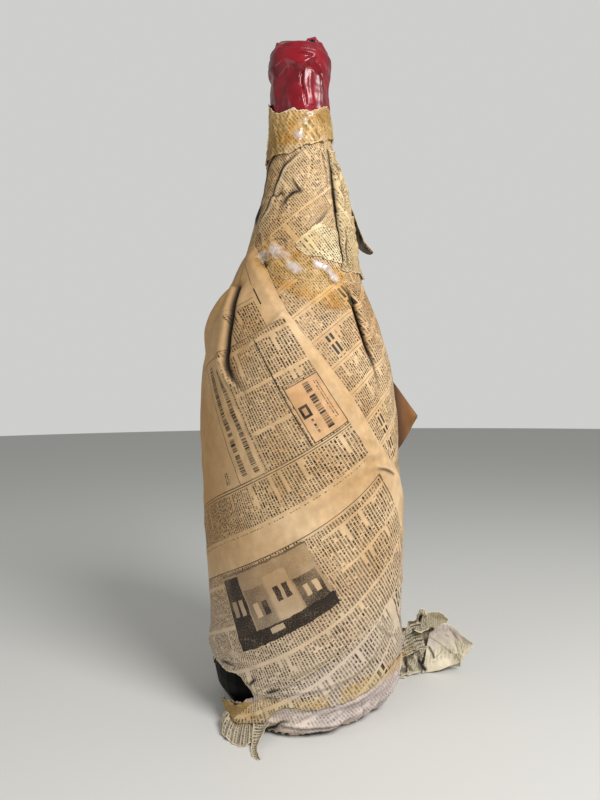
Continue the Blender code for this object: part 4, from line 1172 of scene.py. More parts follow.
class BOTTLE_OT_wax(bpy.types.Operator):
    """Pour the wax over the mouth and the neck"""

    bl_idname = "bottle.wax"
    bl_label = "Sealing wax"

    def execute(self, context):
        wax = sealing_wax()
        bearing = np.arange(WAX_COLUMNS) * 360.0 / WAX_COLUMNS
        # The sleeve, against the glass inside
        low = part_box("wax_sleeve")[0]
        height = np.linspace(low.z, WAX_SPLIT - WAX_CUT, SLEEVE_ROWS)[:, None]
        bearings, heights = np.broadcast_arrays(bearing, height)
        thin = step(low.z, low.z + SLEEVE_TAPER, heights)
        inside = sample(GLASS, bearings, heights) + GAP
        inside = np.where(heights > HOLLOW_FOOT, np.maximum(inside, HOLLOW_RADIUS), inside)
        outside = wax_skin(bearings, heights) * thin + (inside + SLEEVE_THIN) * (1 - thin)
        outside = np.maximum(outside, inside + WAX_LEAST)
        sleeve = shell("wax_on_neck", at(outside, bearings, heights), at(inside, bearings, heights))
        dress("wax_on_neck", sleeve, wax, 0.0, ["wax_sleeve"])
        # The crown, over the mouth: it narrows to a flat top that slopes down in front, and has a lump and a
        # burst bubble there
        share = np.linspace(0.0, 1.0, CROWN_ROWS)[:, None]
        rise, width = (smooth([(place[0], place[k]) for place in CROWN_OUTLINE], share) for k in (1, 2))
        rim = wax_skin(bearing, np.full_like(bearing, WAX_SPLIT))
        soft = ripples(bearing, share * 0.05, 0.020, 37, radius=WAX_LIP, count=6) * np.sin(math.pi * share)
        place = at(rim * width * (1 + 0.035 * soft), bearing, WAX_SPLIT + (WAX_TOP - WAX_SPLIT) * rise)
        place[..., 2] += 0.0007 * soft
        place[..., 2] = np.minimum(place[..., 2], WAX_TOP + CROWN_SLOPE * place[..., 1] + 0.0010 * soft)
        lump = np.array(LUMP_PLACE)
        away = place - lump
        distance = np.linalg.norm(away, axis=-1, keepdims=True)
        swell = np.exp(-((distance / LUMP_RADIUS) ** 4))
        place = place + (away / distance * LUMP_RADIUS - away) * swell
        distance = np.linalg.norm(place - np.array(CRATER_PLACE), axis=-1)
        place[..., 1] += 0.0030 * np.exp(-((distance / (0.75 * CRATER_RADIUS)) ** 4))
        under = at(np.minimum(HOLLOW_RADIUS, rim - SLEEVE_THIN), bearing, WAX_SPLIT)
        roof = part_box("glass_bottle")[1].z + GAP
        inner = np.stack([
            under, at(HOLLOW_RADIUS, bearing, roof - ROOF_ROUNDING), at(ROOF_RADIUS, bearing, roof),
            at(0.0, bearing, roof),
        ])
        dress("wax_over_mouth", shell("wax_over_mouth", place, inner), wax, 0.0, ["wax_crown"],
              "crown")
        return {"FINISHED"}


class BOTTLE_OT_inner_sheets(bpy.types.Operator):
    """Lay the sheets that are mostly hidden, from the glass outwards"""

    bl_idname = "bottle.inner_sheets"
    bl_label = "Inner sheets"

    def execute(self, context):
        inner = newsprint("inner_newsprint", "#BE9C70", "#A68458", foot="#9A8878", seed=3.0)
        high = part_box("inner_wrap")[1].z
        wrap(
            "first_sheet", -180, 207, INNER_BOTTOM, high, body_bumps(5, 0.3), print_on(), inner,
            ["inner_wrap"], grain=0.004,
        )
        return {"FINISHED"}


SKIRT_HEIGHT = 0.034
# The heel scrap's lower edge and its width
SCRAP_FOOT = 0.006
SCRAP_WIDTH = 0.022


def skirt_bumps(bearing, height):
    """Radial folds of the skirt, deeper towards its hem."""
    drop = np.clip(1 - height / SKIRT_HEIGHT, 0.0, 1.0)
    folds = ripples(bearing, height * 0.3, 0.034, 21, slant=84.0, spread=20.0, sharp=True, count=5)
    creases = ripples(bearing, height, 0.012, 22, slant=14.0, spread=16.0, sharp=True, count=6)
    flare = 0.0050 * drop * np.exp(-(((bearing + 1) / 20.0) ** 4))
    return 0.0030 * drop * (folds + 0.5) + 0.0012 * creases + 0.0010 + flare


def scrap_bumps(bearing, height):
    """The inner sheet turned under the heel: round across its width."""
    share = np.clip((height - SCRAP_FOOT) / SCRAP_WIDTH, 0.0, 1.0)
    creases = ripples(bearing, height, 0.012, 24, sharp=True)
    return 0.0042 * np.sin(math.pi * share) ** 0.7 + 0.0003 * creases


SKIRT_LINES = (
    ("fold", ((-22, 0.0050), (-18, 0.0092), (-15, 0.0145), (-9, 0.0168)), 0.0022, -0.0018, 1.0),
    ("lip", ((-30, 0.016), (-16, 0.013), (0, 0.011), (16, 0.011), (30, 0.014)), 0.0040, 0.0016, 0.55),
    ("lip", ((8, 0.024), (24, 0.028), (38, 0.034), (50, 0.040)), 0.0040, 0.0012, 0.35),
    ("fold", ((30, 0.030), (34, 0.016), (37, 0.004)), 0.0014, -0.0014, 0.5),
    ("fold", ((-26, 0.0040), (-21, 0.0070), (-16, 0.0100)), 0.0036, -0.0024, 1.0),
)
LOW_LINES = (
    ("fold", ((-24, 0.036), (-19, 0.037), (-14, 0.035)), 0.0022, 0.0010, 0.85),
    ("lip", ((-30, 0.031), (-15, 0.040), (4, 0.045), (20, 0.052), (36, 0.062), (52, 0.076)), 0.0050, 0.0008,
     0.30),
    ("lip", ((6, 0.036), (18, 0.049), (34, 0.062), (48, 0.082), (60, 0.095)), 0.0040, 0.0009, 0.35),
    ("fold", ((44, 0.112), (50, 0.090), (56, 0.070)), 0.0020, -0.0010, 0.45),
    ("lip", ((38, 0.108), (44, 0.094), (54, 0.080), (66, 0.074)), 0.0050, 0.0014, 0.45),
)
# Lines of places in millimetres, low and high
RUFFLE = (
    ((-77, -78, 3), (-78, -90, 1.5), (-72, -99, 1), (-65, -107, 1), (-57, -109, 1), (-49, -102, 2)),
    ((-78, -64, 11), (-74, -69, 11), (-70, -74, 10), (-64, -79, 9.5), (-57, -84, 9), (-49, -89, 9)),
)
STRIP = (
    ((-43, -130, 1), (-48.5, -124, 1), (-50.5, -116, 1.5), (-50.5, -106, 4), (-50.5, -98, 8),
     (-50, -90, 13)),
    ((-42, -129.5, 2.2), (-44.5, -122, 3), (-45, -114, 4.5), (-42, -106, 7.5), (-39, -99, 11),
     (-35, -94, 14)),
)
CORNER = (
    ((93, 15, 251), (100, 17, 252), (110, 18, 264), (118, 17, 279), (124, 15, 290)),
    ((93, 15, 330), (97, 13, 330), (107, 12, 316), (116, 13, 303), (124.3, 15, 291)),
)
NECK_FLAP = (
    ((48, -8, 484), (54, -7, 477), (60, -6, 470), (66, -4, 465.5), (72, -3, 463.5), (76.5, -2, 465)),
    ((50, -13, 520), (55, -11, 508), (60.5, -9, 492), (66, -6, 480), (71, -4, 473), (77, -2, 466.5)),
)


def add_scrap(name, places, material, node, slot, bulge=0.0, crumple=0.0, length=0.02, seed=1, dark=None,
              torn=(0.7, 0.7), thickness=PAPER, rests_on=(), **more):
    """Adds one scrap of paper between two lines of places, with its painted shade given."""
    place, print_at = span(*places, bulge, crumple, length, seed, **more)
    shade = np.zeros(place.shape[:2]) if dark is None else dark(place)
    painted_shade_and_rims = np.stack([shade, np.zeros(shade.shape)], axis=-1)
    paper_piece(name, place, print_at, painted_shade_and_rims, torn, material, thickness, [node])


# How far the low sheet goes up under the large one, and the highest that it reaches
LOW_OVERLAP = 0.02
LOW_TOP = 0.124


class BOTTLE_OT_foot(bpy.types.Operator):
    """Lay the skirt, its ruffle and strip, and the low sheet"""

    bl_idname = "bottle.foot"
    bl_label = "Foot"

    def execute(self, context):
        grey = newsprint(
            "rubbed_newsprint", "#DECFC4", "#C4B4AE", ink_tint="#3E3531", strength=0.7, pitch=2.8,
            column=30.0, seed=41.0, headings=0.05,
        )
        olive = newsprint(
            "browned_newsprint", "#A08852", "#836C40", ink_tint="#4A3A20", strength=0.5, seed=43.0,
        )
        striped = newsprint(
            "striped_newsprint", "#C8BCA4", "#968A74", ink_tint="#14100C", pitch=2.9, column=400.0,
            seed=45.0, headings=0.0, left_side_shade=0.15,
        )
        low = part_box("foot_skirt")[0].z
        wrap(
            "skirt", -62, 262, low, SKIRT_TOP, skirt_bumps, print_on(), grey, ["foot_skirt"],
            grain=FINE_GRAIN, tear=0.0034, features=SKIRT_LINES, torn=(0.9, 0.3), seed=52,
        )
        wrap(
            "heel_scrap", -62, -27, SCRAP_FOOT, HEEL_TOP, scrap_bumps, print_on(), olive, ["foot_skirt"],
            grain=FINE_GRAIN, tear=0.0010, torn=(0.1, 0.45), seed=54,
        )
        add_scrap(
            "ruffle", RUFFLE, striped, "foot_skirt", "grey_newsprint", bulge=0.002, crumple=0.0034,
            length=0.020, seed=56, teeth=0.0016, tooth=0.0088, grain=0.0009, torn=(0.6, 0.0), count=4,
            rests_on=["skirt"],
        )
        add_scrap(
            "strip", STRIP, striped, "foot_strip", "grey_newsprint", bulge=0.002, crumple=0.0005,
            length=0.010, seed=57, grain=0.0009, torn=(0.6, 0.6), rests_on=["ruffle"],
        )
        lower = newsprint(
            "low_newsprint", "#D8BE98", "#BFA37E", foot="#CBBBAA", plates=LOWER_PLATES, seed=12.0,
            headings=0.03,
        )
        outer_low = edge(OUTER_BOTTOM)
        wrap(
            "low_sheet", -189, 176, LOWER_BOTTOM, lambda b: np.minimum(outer_low(b) + LOW_OVERLAP, LOW_TOP),
            body_bumps(6, 1.6), print_on(), lower, ["lower_wrap"], features=LOW_LINES,
            torn=(0.2, 0.5), seed=61,
        )
        wrap(
            "low_tongue", -41, -24, TONGUE_LOW, TONGUE_HIGH, body_bumps(6, 1.0), print_on(), lower,
            ["lower_wrap"], grain=FINE_GRAIN, tear=0.0006, torn=(0.5, 0.3), seed=63,
        )
        return {"FINISHED"}


SIDE_LINES = (
    ("fold", ((46, 0.426), (46, 0.404), (47, 0.391), (48, 0.376), (51, 0.360), (54, 0.346), (57, 0.328),
              (61, 0.308)), 0.0055, 0.0034, 0.0),
    ("fold", ((56, 0.420), (57, 0.395), (60, 0.370), (66, 0.345)), 0.0040, -0.0012, 0.1),
)


class BOTTLE_OT_side_sheet(bpy.types.Operator):
    """Lay the sheet that shows high on the right, with its pleat"""

    bl_idname = "bottle.side_sheet"
    bl_label = "Side sheet"

    def execute(self, context):
        side = newsprint(
            "small_ads_newsprint", "#DABA90", "#BE986A", plates=SIDE_PLATES, seed=5.0, pitch=2.8,
            column=28.0, headings=0.35, rules=0.7, margin=2.6,
        )
        low, high = (corner.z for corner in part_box("side_wrap"))
        # The columns are closer where the pleat is
        bearings = np.concatenate([
            spread(-45, 28, GRAIN, REACH)[:-1], np.linspace(28, 60, 76)[:-1], spread(60, 315, GRAIN, REACH),
        ])
        wrap(
            "side_sheet", -45, 315, low, high, body_bumps(7, 1.0),
            print_on(origin=0.394, rise=44.0, turn=0.0), side, ["side_wrap"],
            bearings=bearings, pleats=[(RIGHT_PLEAT, 0.011, 0.45, -1)], features=SIDE_LINES, seed=71,
        )
        return {"FINISHED"}


RIDGE_GAP = ((52, 0.572), (51, 0.540), (50, 0.514), (49, 0.488), (47, 0.466), (44, 0.452), (38, 0.436))
NECK_FEATURES = (
    ("fold", ((-28, 0.566), (-45, 0.5635), (-60, 0.559), (-67.5, 0.556), (-72.5, 0.545), (-79, 0.5325),
              (-81, 0.522), (-76, 0.514), (-68, 0.508)), 0.0042, -0.0006, 1.0),
    ("lip", ((10, 0.566), (-17, 0.553), (-30, 0.544), (-43, 0.519), (-50, 0.502), (-62, 0.490)), 0.006,
     0.0007, 1.0),
    ("fold", ((-26, 0.541), (-39, 0.518), (-46, 0.503), (-56, 0.493)), 0.0016, 0.0008, 0.35),
    ("fold", ((-14, 0.536), (-7, 0.5265), (-1, 0.5205), (2, 0.518)), 0.0018, 0.0008, 1.0),
    ("fold", ((4, 0.5225), (-3, 0.5195), (-10, 0.5188), (-15, 0.5165), (-22, 0.510), (-30, 0.503)), 0.0042,
     -0.0016, 0.92),
    ("fold", ((-47, 0.520), (-36, 0.517), (-30, 0.520), (-24, 0.513)), 0.0020, -0.0022, 0.95),
    ("fold", ((-22, 0.515), (-18, 0.512), (-14, 0.513)), 0.0018, 0.0016, 0.5),
    ("lip", ((38, 0.503), (24, 0.490), (10, 0.479)), 0.008, 0.0012, 0.6),
    ("fold", ((-36, 0.469), (-26, 0.470), (-19, 0.468), (-16, 0.459)), 0.0014, -0.0010, 0.8),
    ("fold", ((37, 0.565), (42, 0.555), (44, 0.538)), 0.0016, -0.0020, 0.8),
    ("fold", ((-61, 0.515), (-65, 0.506), (-66, 0.498), (-63, 0.491)), 0.0080, 0.0016, 1.0),
    ("lip", ((-66, 0.497), (-58, 0.486), (-50, 0.474), (-44, 0.462)), 0.006, 0.0010, 0.35),
    ("fold", ((20, 0.560), (26, 0.540), (34, 0.520)), 0.0030, 0.0008, 0.15),
    ("fold", RIDGE_GAP, 0.0030, -0.0010, 0.97),
    ("lip", ((150, 0.56), (160, 0.52), (152, 0.48), (160, 0.44)), 0.010, 0.0016, 0.6),
    ("fold", ((-130, 0.56), (-140, 0.52), (-128, 0.47)), 0.0030, 0.0020, 0.3),
)


class BOTTLE_OT_neck_paper(bpy.types.Operator):
    """Lay the paper of the shoulder and the neck"""

    bl_idname = "bottle.neck_paper"
    bl_label = "Neck paper"

    def execute(self, context):
        upper = newsprint(
            "neck_newsprint", "#DCBC90", "#C09A68", seed=8.0, pitch=3.0, column=62.0, headings=0.0,
            margin=0.8,
        )
        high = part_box("shoulder_wrap")[1].z
        wrap(
            "shoulder_sheet", -180, 180, SHOULDER_LOW, high, neck_bumps(9, 0.0006, 0.018),
            print_on(origin=0.5, rise=50.0, turn=0.0), upper, ["shoulder_wrap"], grain=0.0012,
            features=NECK_FEATURES, mean_radius=0.07, settle=0.012, seed=81,
        )
        return {"FINISHED"}


BODY_LINES = (
    ("lip", ((-112, 0.372), (-88, 0.376), (-77, 0.396), (-68, 0.412), (-60, 0.422), (-54, 0.4235)), 0.030,
     -0.0030, 0.0),
    ("fold", ((-52, 0.372), (-50, 0.352), (-46, 0.338), (-38, 0.3265), (-30, 0.314), (-20, 0.302)), 0.0045,
     0.0022, 0.0),
    ("fold", ((-43, 0.341), (-40, 0.331), (-35, 0.320), (-30, 0.312), (-25, 0.304)), 0.0062, -0.0018, 0.26),
    ("lip", ((-8, 0.405), (-14, 0.393), (-22, 0.379), (-32, 0.3635), (-41, 0.352)), 0.0050, 0.0007, 0.20),
    ("fold", ((18, 0.277), (28, 0.274), (38, 0.271), (50, 0.275)), 0.0040, 0.0013, 0.12),
    ("fold", ((16, 0.264), (26, 0.260), (38, 0.257), (52, 0.265)), 0.0035, 0.0011, 0.10),
    ("fold", ((22, 0.249), (32, 0.246), (44, 0.247), (58, 0.256)), 0.0035, 0.0012, 0.10),
    ("lip", ((40, 0.245), (49, 0.242), (58, 0.235)), 0.0060, 0.0014, 0.6),
    ("fold", ((-40, 0.300), (-30, 0.285), (-16, 0.272)), 0.0050, 0.0012, 0.05),
    ("fold", ((-12, 0.330), (2, 0.300), (22, 0.282)), 0.0060, 0.0010, 0.0),
    ("fold", ((-56, 0.200), (-40, 0.190), (-22, 0.196)), 0.0050, -0.0008, 0.0),
    ("fold", ((6, 0.150), (20, 0.164), (38, 0.172), (54, 0.190)), 0.0040, 0.0009, 0.05),
    ("fold", ((-30, 0.102), (-12, 0.112), (12, 0.120), (34, 0.138)), 0.0035, 0.0010, 0.06),
    ("fold", ((-58, 0.092), (-44, 0.084), (-30, 0.088), (-16, 0.078)), 0.0030, 0.0010, 0.08),
    ("fold", ((-48, 0.070), (-34, 0.064), (-20, 0.066)), 0.0026, 0.0012, 0.10),
    ("fold", ((-58, 0.0555), (-50, 0.0575), (-42, 0.0592)), 0.0026, -0.0006, 1.0),
    ("fold", ((-33.5, 0.0430), (-30.8, 0.0477), (-28, 0.0530)), 0.0028, -0.0006, 1.0),
    ("fold", ((-22.5, 0.0400), (-18, 0.0437), (-14, 0.0465)), 0.0026, -0.0006, 1.0),
    ("fold", ((40, 0.205), (48, 0.180), (52, 0.150)), 0.0040, 0.0012, 0.08),
    ("lip", ((-30, 0.042), (-18, 0.050), (-6, 0.060), (12, 0.076), (24, 0.089), (37, 0.105), (53, 0.124)),
     0.0030, 0.0009, 0.25),
    ("fold", ((-170, 0.34), (-150, 0.30), (-140, 0.24)), 0.0050, 0.0020, 0.2),
    ("fold", ((-128, 0.20), (-120, 0.15), (-128, 0.11)), 0.0050, 0.0016, 0.15),
    ("fold", ((96, 0.180), (110, 0.150), (118, 0.135)), 0.0050, 0.0014, 0.1),
)


class BOTTLE_OT_large_sheet(bpy.types.Operator):
    """Lay the large sheet with the slanting edge and the pleat on the left"""

    bl_idname = "bottle.large_sheet"
    bl_label = "Large sheet"

    def execute(self, context):
        front = newsprint(
            "front_newsprint", "#DBBC93", "#C09A6C", foot="#CBB9A2", shoulder_shade="#A07A4E", plates=FRONT_PLATES,
            seed=2.0, headings=0.06,
        )
        # The columns are closer where the pleat is, and a little closer in front
        bearings = np.concatenate([
            spread(-198, -112, GRAIN, REACH)[:-1], np.linspace(-112, -24, 146)[:-1],
            np.linspace(-24, 66, 100)[:-1], spread(66, 171, GRAIN, REACH),
        ])
        pleat_width = context.scene.bottle_sizes.pleat
        wrap(
            "large_sheet", -198, 171, OUTER_BOTTOM, OUTER_TOP, body_bumps(8, 1.0), print_on(), front,
            ["outer_wrap"], grain=0.0019, bearings=bearings,
            pleats=[(LEFT_PLEAT, pleat_width, 0.74, 1)], features=BODY_LINES, torn=(0.8, 0.0), tear=0.0011,
            seed=91, tuck=0.014,
        )
        return {"FINISHED"}


def roll_start(points):
    """Leans a roll's start along a line of bearings, which is read at each height."""
    line = sorted((height, bearing - points[0][0]) for bearing, height in points)
    return lambda height: smooth(line, height)


COLLAR_LINES = (
    ("fold", ((-60, 0.60), (-48, 0.585), (-40, 0.565)), 0.0018, 0.0014, 0.35),
    ("fold", ((-20, 0.604), (-26, 0.588), (-10, 0.574)), 0.0016, 0.0012, 0.3),
    ("fold", ((10, 0.603), (22, 0.590), (46, 0.580)), 0.0016, 0.0014, 0.35),
    ("fold", ((30, 0.606), (44, 0.598), (60, 0.600)), 0.0016, 0.0012, 0.4),
    ("fold", ((-8, 0.596), (14, 0.584), (28, 0.574)), 0.0014, 0.0010, 0.3),
)
ROLL_LINES = (
    ("fold", ((66, 0.560), (64, 0.530), (68, 0.500)), 0.0022, -0.0016, 0.5),
    ("fold", ((78, 0.548), (74, 0.520), (80, 0.492)), 0.0026, 0.0018, 0.2),
    ("fold", ((57, 0.486), (53.5, 0.468), (49.5, 0.452), (46, 0.438)), 0.0016, -0.0012, 0.95),
    ("fold", ((76, 0.486), (72, 0.468), (64, 0.450)), 0.0026, 0.0016, 0.2),
    ("lip", ((54, 0.556), (64, 0.552), (80, 0.549)), 0.0060, 0.0008, 0.55),
)


def flap_shade(place):
    """Painted shade on the torn point, from two or three millimetres below its upper line."""
    xs, _, zs = zip(*NECK_FLAP[1])
    below = np.interp(place[..., 0] / MILLIMETRE, xs, zs) - place[..., 2] / MILLIMETRE
    return 0.82 * step(2.0, 3.6, below)


def corner_shade(place):
    """Painted shadow on the stiff corner, where it goes under the sheet."""
    return 1 - 0.95 * step(0.101, 0.114, place[..., 0] + 0.12 * (place[..., 2] - 0.29))


class BOTTLE_OT_neck_trim(bpy.types.Operator):
    """Lay the collar, the rolls, the patch and the flap of the neck, and the stiff corner below"""

    bl_idname = "bottle.neck_trim"
    bl_label = "Collar, rolls, patch and flap"

    def execute(self, context):
        pale = newsprint(
            "pale_newsprint", "#E6D2A8", "#CFB382", seed=14.0, pitch=3.2, column=48.0, headings=0.1,
        )
        tanned = newsprint(
            "tanned_newsprint", "#DDBE90", "#A88652", seed=15.0, pitch=3.2, column=48.0, headings=0.1,
        )
        wrap(
            "collar", -192, 180, COLLAR_LOW, COLLAR_HIGH, neck_bumps(10, 0.0007, 0.011),
            print_on(origin=0.59, rise=38.0, turn=0.0), tanned, ["neck_collar"],
            grain=0.0011, features=COLLAR_LINES, mean_radius=0.035, tear=0.0016, torn=(0.15, 0.8), seed=101,
        )
        wrap(
            "shoulder_scrap", -6, 42, PATCH_LOW, PATCH_HIGH, neck_bumps(11, 0.0004),
            print_on(origin=0.47, rise=48.0, turn=0.0), pale, ["shoulder_patch"],
            grain=0.0012, mean_radius=0.06, tear=0.0016, seed=111,
        )
        rolled = newsprint(
            "rolled_newsprint", "#D4BA8C", "#A88A60", seed=17.0, pitch=3.6, column=80.0, headings=0.0,
        )
        for name, low, high, bearing, roll_seed in (
            ("upper_roll", 0.486, 0.569, 50, 121), ("lower_roll", 0.4375, 0.500, 48, 123),
        ):
            wrap(
                name, bearing, 108, low, high, neck_bumps(roll_seed, 0.0011, 0.013),
                print_on(origin=0.5, rise=62.0, turn=0.0), rolled, ["neck_ridge"],
                grain=0.0011, features=ROLL_LINES, mean_radius=0.055, tear=0.0030, seed=roll_seed,
                lean=roll_start(RIDGE_GAP), curl=0.009,
            )
        add_scrap(
            "neck_point", NECK_FLAP, rolled, "neck_flap", "newsprint", bulge=-0.002, crumple=0.0008,
            length=0.012, seed=125, grain=0.0009, dark=flap_shade, torn=(0.4, 1.0), rests_on=["neck_ridge"],
        )
        add_scrap(
            "stiff_corner", CORNER, kraft_board(), "corner_flap", "kraft_board", bulge=0.002,
            crumple=0.0004, length=0.03, seed=127, thickness=BOARD, torn=(0.0, 0.0), dark=corner_shade,
            rests_on=["side_wrap"],
        )
        return {"FINISHED"}


# The crumpled end's sheets: name, paper, low and high line of places in millimetres, bulge, crumple and its
# length, how many waves crumple it, and the depth of its ribs
TAIL_SHEETS = (
    ("fan", "striped", ((97, 20, 20), (110, 24, 25), (122, 29, 28), (135, 36, 30)),
     ((97, 22, 44), (108, 26, 51), (119, 31, 58), (131, 37, 58)), -0.004, 0.0014, 0.010, 12, 0.0030),
    ("broad_flap", "pale", ((131, 34, 1), (141, 37, 1.5), (162, 40, 6.5), (174, 39, 12), (184, 37, 25)),
     ((140, 41, 44), (150, 41, 52), (157, 41, 55), (166, 40, 51), (184, 37, 35)), -0.002, 0.0018, 0.034, 4,
     0.0),
    ("end_fold", "pale", ((173, 38, 13), (179, 36, 21), (187, 35, 28)),
     ((163, 39, 51), (175, 38, 43), (188, 35.5, 34)), -0.003, 0.0012, 0.020, 3, 0.0),
    ("fold_over", "olive", ((138, 41, 46), (150, 42, 51), (160, 42, 54)),
     ((136, 46, 65), (152, 47, 66), (163, 45, 58)), -0.003, 0.0012, 0.024, 4, 0.0),
    ("knob", "striped", ((121, 30, 51), (129, 28, 49), (138, 34, 52)),
     ((124, 36, 66), (131, 36, 74), (139, 40, 65)), -0.006, 0.0030, 0.014, 5, 0.0),
    ("loose_bits", "striped", ((99, 16, 1), (108, 26, 1), (118, 30, 2), (129, 32, 3)),
     ((98, 20, 24), (108, 25, 30), (119, 30, 33), (138, 36, 32)), -0.005, 0.0038, 0.012, 5, 0.0),
    ("back", "olive", ((98, 56, 1), (116, 60, 1), (140, 62, 1), (162, 54, 2), (176, 44, 4)),
     ((104, 46, 42), (118, 46, 54), (138, 50, 60), (160, 46, 51), (182, 41, 32)), 0.006, 0.0030, 0.018, 12,
     0.0),
)
# Painted shade in the creases and gaps of the sheets: line of x and height in millimetres, and width
TAIL_CREASES = (
    (((141, 39), (147, 35), (154, 30), (164, 21.5)), 0.8), (((167, 43.5), (173.5, 35.5)), 0.9),
    (((145.5, 16), (151, 19), (156, 25)), 0.7),
    (((136.3, 43.5), (136.8, 43.6)), 1.5), (((139.5, 28), (143, 22), (144.5, 17)), 1.4),
    (((127, 14), (131, 8), (134, 4)), 2.6), (((103, 26), (104, 8)), 2.0), (((111, 22), (112, 6)), 1.8),
    (((119, 24), (126, 27)), 1.6), (((128, 60), (131, 66)), 1.6), (((139, 46), (144, 48)), 1.8),
    (((158, 42), (162, 40)), 0.8), (((170, 20), (168, 14)), 0.8),
)
# How dark a crease's painted shade is for each millimetre of its width, and how many ribs a ribbed sheet has
CREASE_DARKNESS = 0.62
RIBS = 8


def crease_shade(place):
    """The painted shade of each place from the creases near it, seen from the front."""
    dark = np.zeros(place.shape[:2])
    spot = place[..., ::2] / MILLIMETRE
    for line, width in TAIL_CREASES:
        for start, stop in zip(np.array(line, float), np.array(line[1:], float)):
            run = stop - start
            share = np.clip(((spot - start) @ run) / (run @ run), 0.0, 1.0)[..., None]
            away = np.linalg.norm(spot - start - share * run, axis=-1)
            dark = np.maximum(dark, min(1.0, CREASE_DARKNESS * width) * bell(away, width))
    return dark


class BOTTLE_OT_tail(bpy.types.Operator):
    """Crumple the loose end at the right of the foot"""

    bl_idname = "bottle.tail"
    bl_label = "Crumpled end"

    def execute(self, context):
        papers = {
            "pale": newsprint("pale_crumpled_newsprint", "#DED2B8", "#C0B2A8", ink_tint="#3A322C",
                              strength=0.3, pitch=5.0, column=34.0, seed=47.0, headings=0.0, margin=9.0),
            "olive": newsprint("olive_crumpled_newsprint", "#D2C8AC", "#B0A488", strength=0.45, seed=48.0),
            "striped": newsprint("striped_crumpled_newsprint", "#D4CAB2", "#AEA28A", ink_tint="#14100C",
                                 pitch=2.7, column=400.0, seed=49.0, headings=0.0),
        }
        for number, (name, paper, low, high, bulge, crumple, length, count, ribs) in enumerate(TAIL_SHEETS):
            place, print_at = span(low, high, bulge, crumple, length, 140 + number, 0.0010, count=count)
            dark = crease_shade(place)
            if ribs:
                rows = np.linspace(0.0, 1.0, place.shape[0])[:, None]
                wave = zigzag(rows * TURN * RIBS) + np.zeros(place.shape[:2])
                place[..., 1] += ribs * wave
                # Painted shade in the troughs of the ribs
                dark = np.maximum(dark, 0.75 * step(0.1, 1.0, wave))
            painted_shade_and_rims = np.stack([dark, np.zeros(dark.shape)], axis=-1)
            paper_piece(name, place, print_at, painted_shade_and_rims, (0.7, 0.7), papers[paper], PAPER, ["crumpled_tail"])
        return {"FINISHED"}


class BOTTLE_OT_tape(bpy.types.Operator):
    """Lay the strips of clear yellowed tape"""

    bl_idname = "bottle.tape"
    bl_label = "Tape"

    def execute(self, context):
        film = cellulose_tape()
        for name, start, stop, low, high, node, radius, size in (
            ("neck_film", -135, 225, NECK_TAPE_LOW, NECK_TAPE_HIGH, "neck_tape", 0.035, 0.0007),
            ("shoulder_film", -45, 38, SHOULDER_TAPE_LOW, SHOULDER_TAPE_HIGH, "shoulder_tape", 0.08,
             0.0007),
            ("foot_film_left", -40, 11, FOOT_TAPE_LOW, FOOT_TAPE_HIGH, "foot_tape", 0.1, 0.0003),
            ("foot_film_right", 17, 63, FOOT_TAPE_LOW, FOOT_TAPE_HIGH, "foot_tape", 0.1, 0.0003),
        ):
            wrap(
                name, start, stop, low, high, neck_bumps(13, size, 0.012), print_on(), film, [node],
                grain=0.0013, thickness=TAPE, mean_radius=radius, tear=0.0003, seed=131,
            )
        return {"FINISHED"}


# A round floor, whose far edge looks the same from every side
FLOOR_RADIUS = 6.0
FLOOR_SIDES = 180
# How brightly the world lights the bottle, and how bright it looks to the camera
WORLD_LIGHT = (0.60, 1.06)
# The lamps: place, size and power. They point at the bottle's middle
LAMPS = {
    "key_light": ((0.75, -0.95, 1.20), 0.7, 24.0),
    "fill_light": ((-1.1, -0.7, 0.6), 0.9, 2.5),
}
LAMP_TARGET = Vector((0.0, 0.0, 0.35))


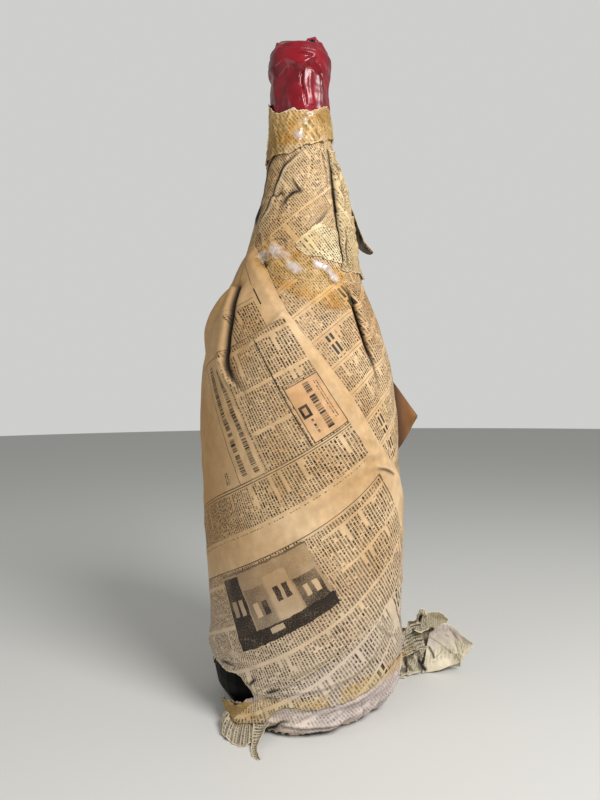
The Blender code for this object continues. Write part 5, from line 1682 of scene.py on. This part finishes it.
class BOTTLE_OT_stage(bpy.types.Operator):
    """Set the floor, the light and the camera"""

    bl_idname = "bottle.stage"
    bl_label = "Floor, light and camera"

    def execute(self, context):
        colours = context.scene.bottle_colours
        made, tree, _ = new_material("pale_floor")
        finish_material(made, add(tree, "BsdfPrincipled", Base_Color=tuple(colours.floor), Roughness=0.6))
        mesh = bpy.data.meshes.new("studio_floor")
        turns = np.linspace(0.0, TURN, FLOOR_SIDES, endpoint=False)
        rim = [(FLOOR_RADIUS * math.cos(turn), FLOOR_RADIUS * math.sin(turn), 0.0) for turn in turns]
        mesh.from_pydata(rim, [], [tuple(range(FLOOR_SIDES))])
        mesh.materials.append(made)
        floor = bpy.data.objects.new("studio_floor", mesh)
        context.scene.collection.objects.link(floor)
        world = bpy.data.worlds.new("studio")
        world.use_nodes = True
        # The backdrop is lit more brightly than the shaded side of the bottle is
        background = world.node_tree.nodes["Background"]
        background.inputs["Color"].default_value = tuple(colours.wall)
        seen = add(world.node_tree, "LightPath").outputs["Is Camera Ray"]
        light = add(world.node_tree, "MapRange", seen, 0.0, 1.0, *WORLD_LIGHT)
        world.node_tree.links.new(light.outputs[0], background.inputs["Strength"])
        context.scene.world = world
        context.scene.view_settings.view_transform = "Standard"
        for name, (place, size, energy) in LAMPS.items():
            light = bpy.data.lights.new(name, "AREA")
            light.shape = "DISK"
            light.size = size
            light.energy = energy
            lamp = bpy.data.objects.new(name, light)
            lamp.location = place
            lamp.rotation_euler = (LAMP_TARGET - Vector(place)).to_track_quat("-Z", "Y").to_euler()
            context.scene.collection.objects.link(lamp)
        camera = bpy.data.cameras.new("camera")
        camera.lens = LENS
        seen_from = bpy.data.objects.new("camera", camera)
        seen_from.location = CAMERA_PLACE
        seen_from.rotation_euler = (math.pi / 2, math.radians(CAMERA_ROLL), 0.0)
        context.scene.collection.objects.link(seen_from)
        context.scene.camera = seen_from
        return {"FINISHED"}


class BOTTLE_PT_panel(bpy.types.Panel):
    """The bottle's pieces, in the order they are made"""

    bl_idname = "BOTTLE_PT_panel"
    bl_label = "Wrapped bottle"
    bl_space_type = "VIEW_3D"
    bl_region_type = "UI"
    bl_category = "Bottle"

    def draw(self, context):
        for group in (context.scene.bottle_colours, context.scene.bottle_sizes):
            for name in group.__annotations__:
                self.layout.prop(group, name)
        for operator in STEPS:
            self.layout.operator(operator.bl_idname)


STEPS = (
    BOTTLE_OT_stage, BOTTLE_OT_contents, BOTTLE_OT_wax, BOTTLE_OT_inner_sheets, BOTTLE_OT_foot,
    BOTTLE_OT_side_sheet, BOTTLE_OT_neck_paper, BOTTLE_OT_large_sheet, BOTTLE_OT_neck_trim, BOTTLE_OT_tape,
    BOTTLE_OT_tail,
)
CLASSES = (BottleColours, BottleSizes, *STEPS, BOTTLE_PT_panel)


def register():
    for each in CLASSES:
        bpy.utils.register_class(each)
    bpy.types.Scene.bottle_colours = bpy.props.PointerProperty(type=BottleColours)
    bpy.types.Scene.bottle_sizes = bpy.props.PointerProperty(type=BottleSizes)


def unregister():
    del bpy.types.Scene.bottle_sizes
    del bpy.types.Scene.bottle_colours
    for each in reversed(CLASSES):
        bpy.utils.unregister_class(each)


def main():
    register()
    for operator in STEPS:
        group, name = operator.bl_idname.split(".")
        getattr(getattr(bpy.ops, group), name)()


if __name__ == "__main__":
    main()
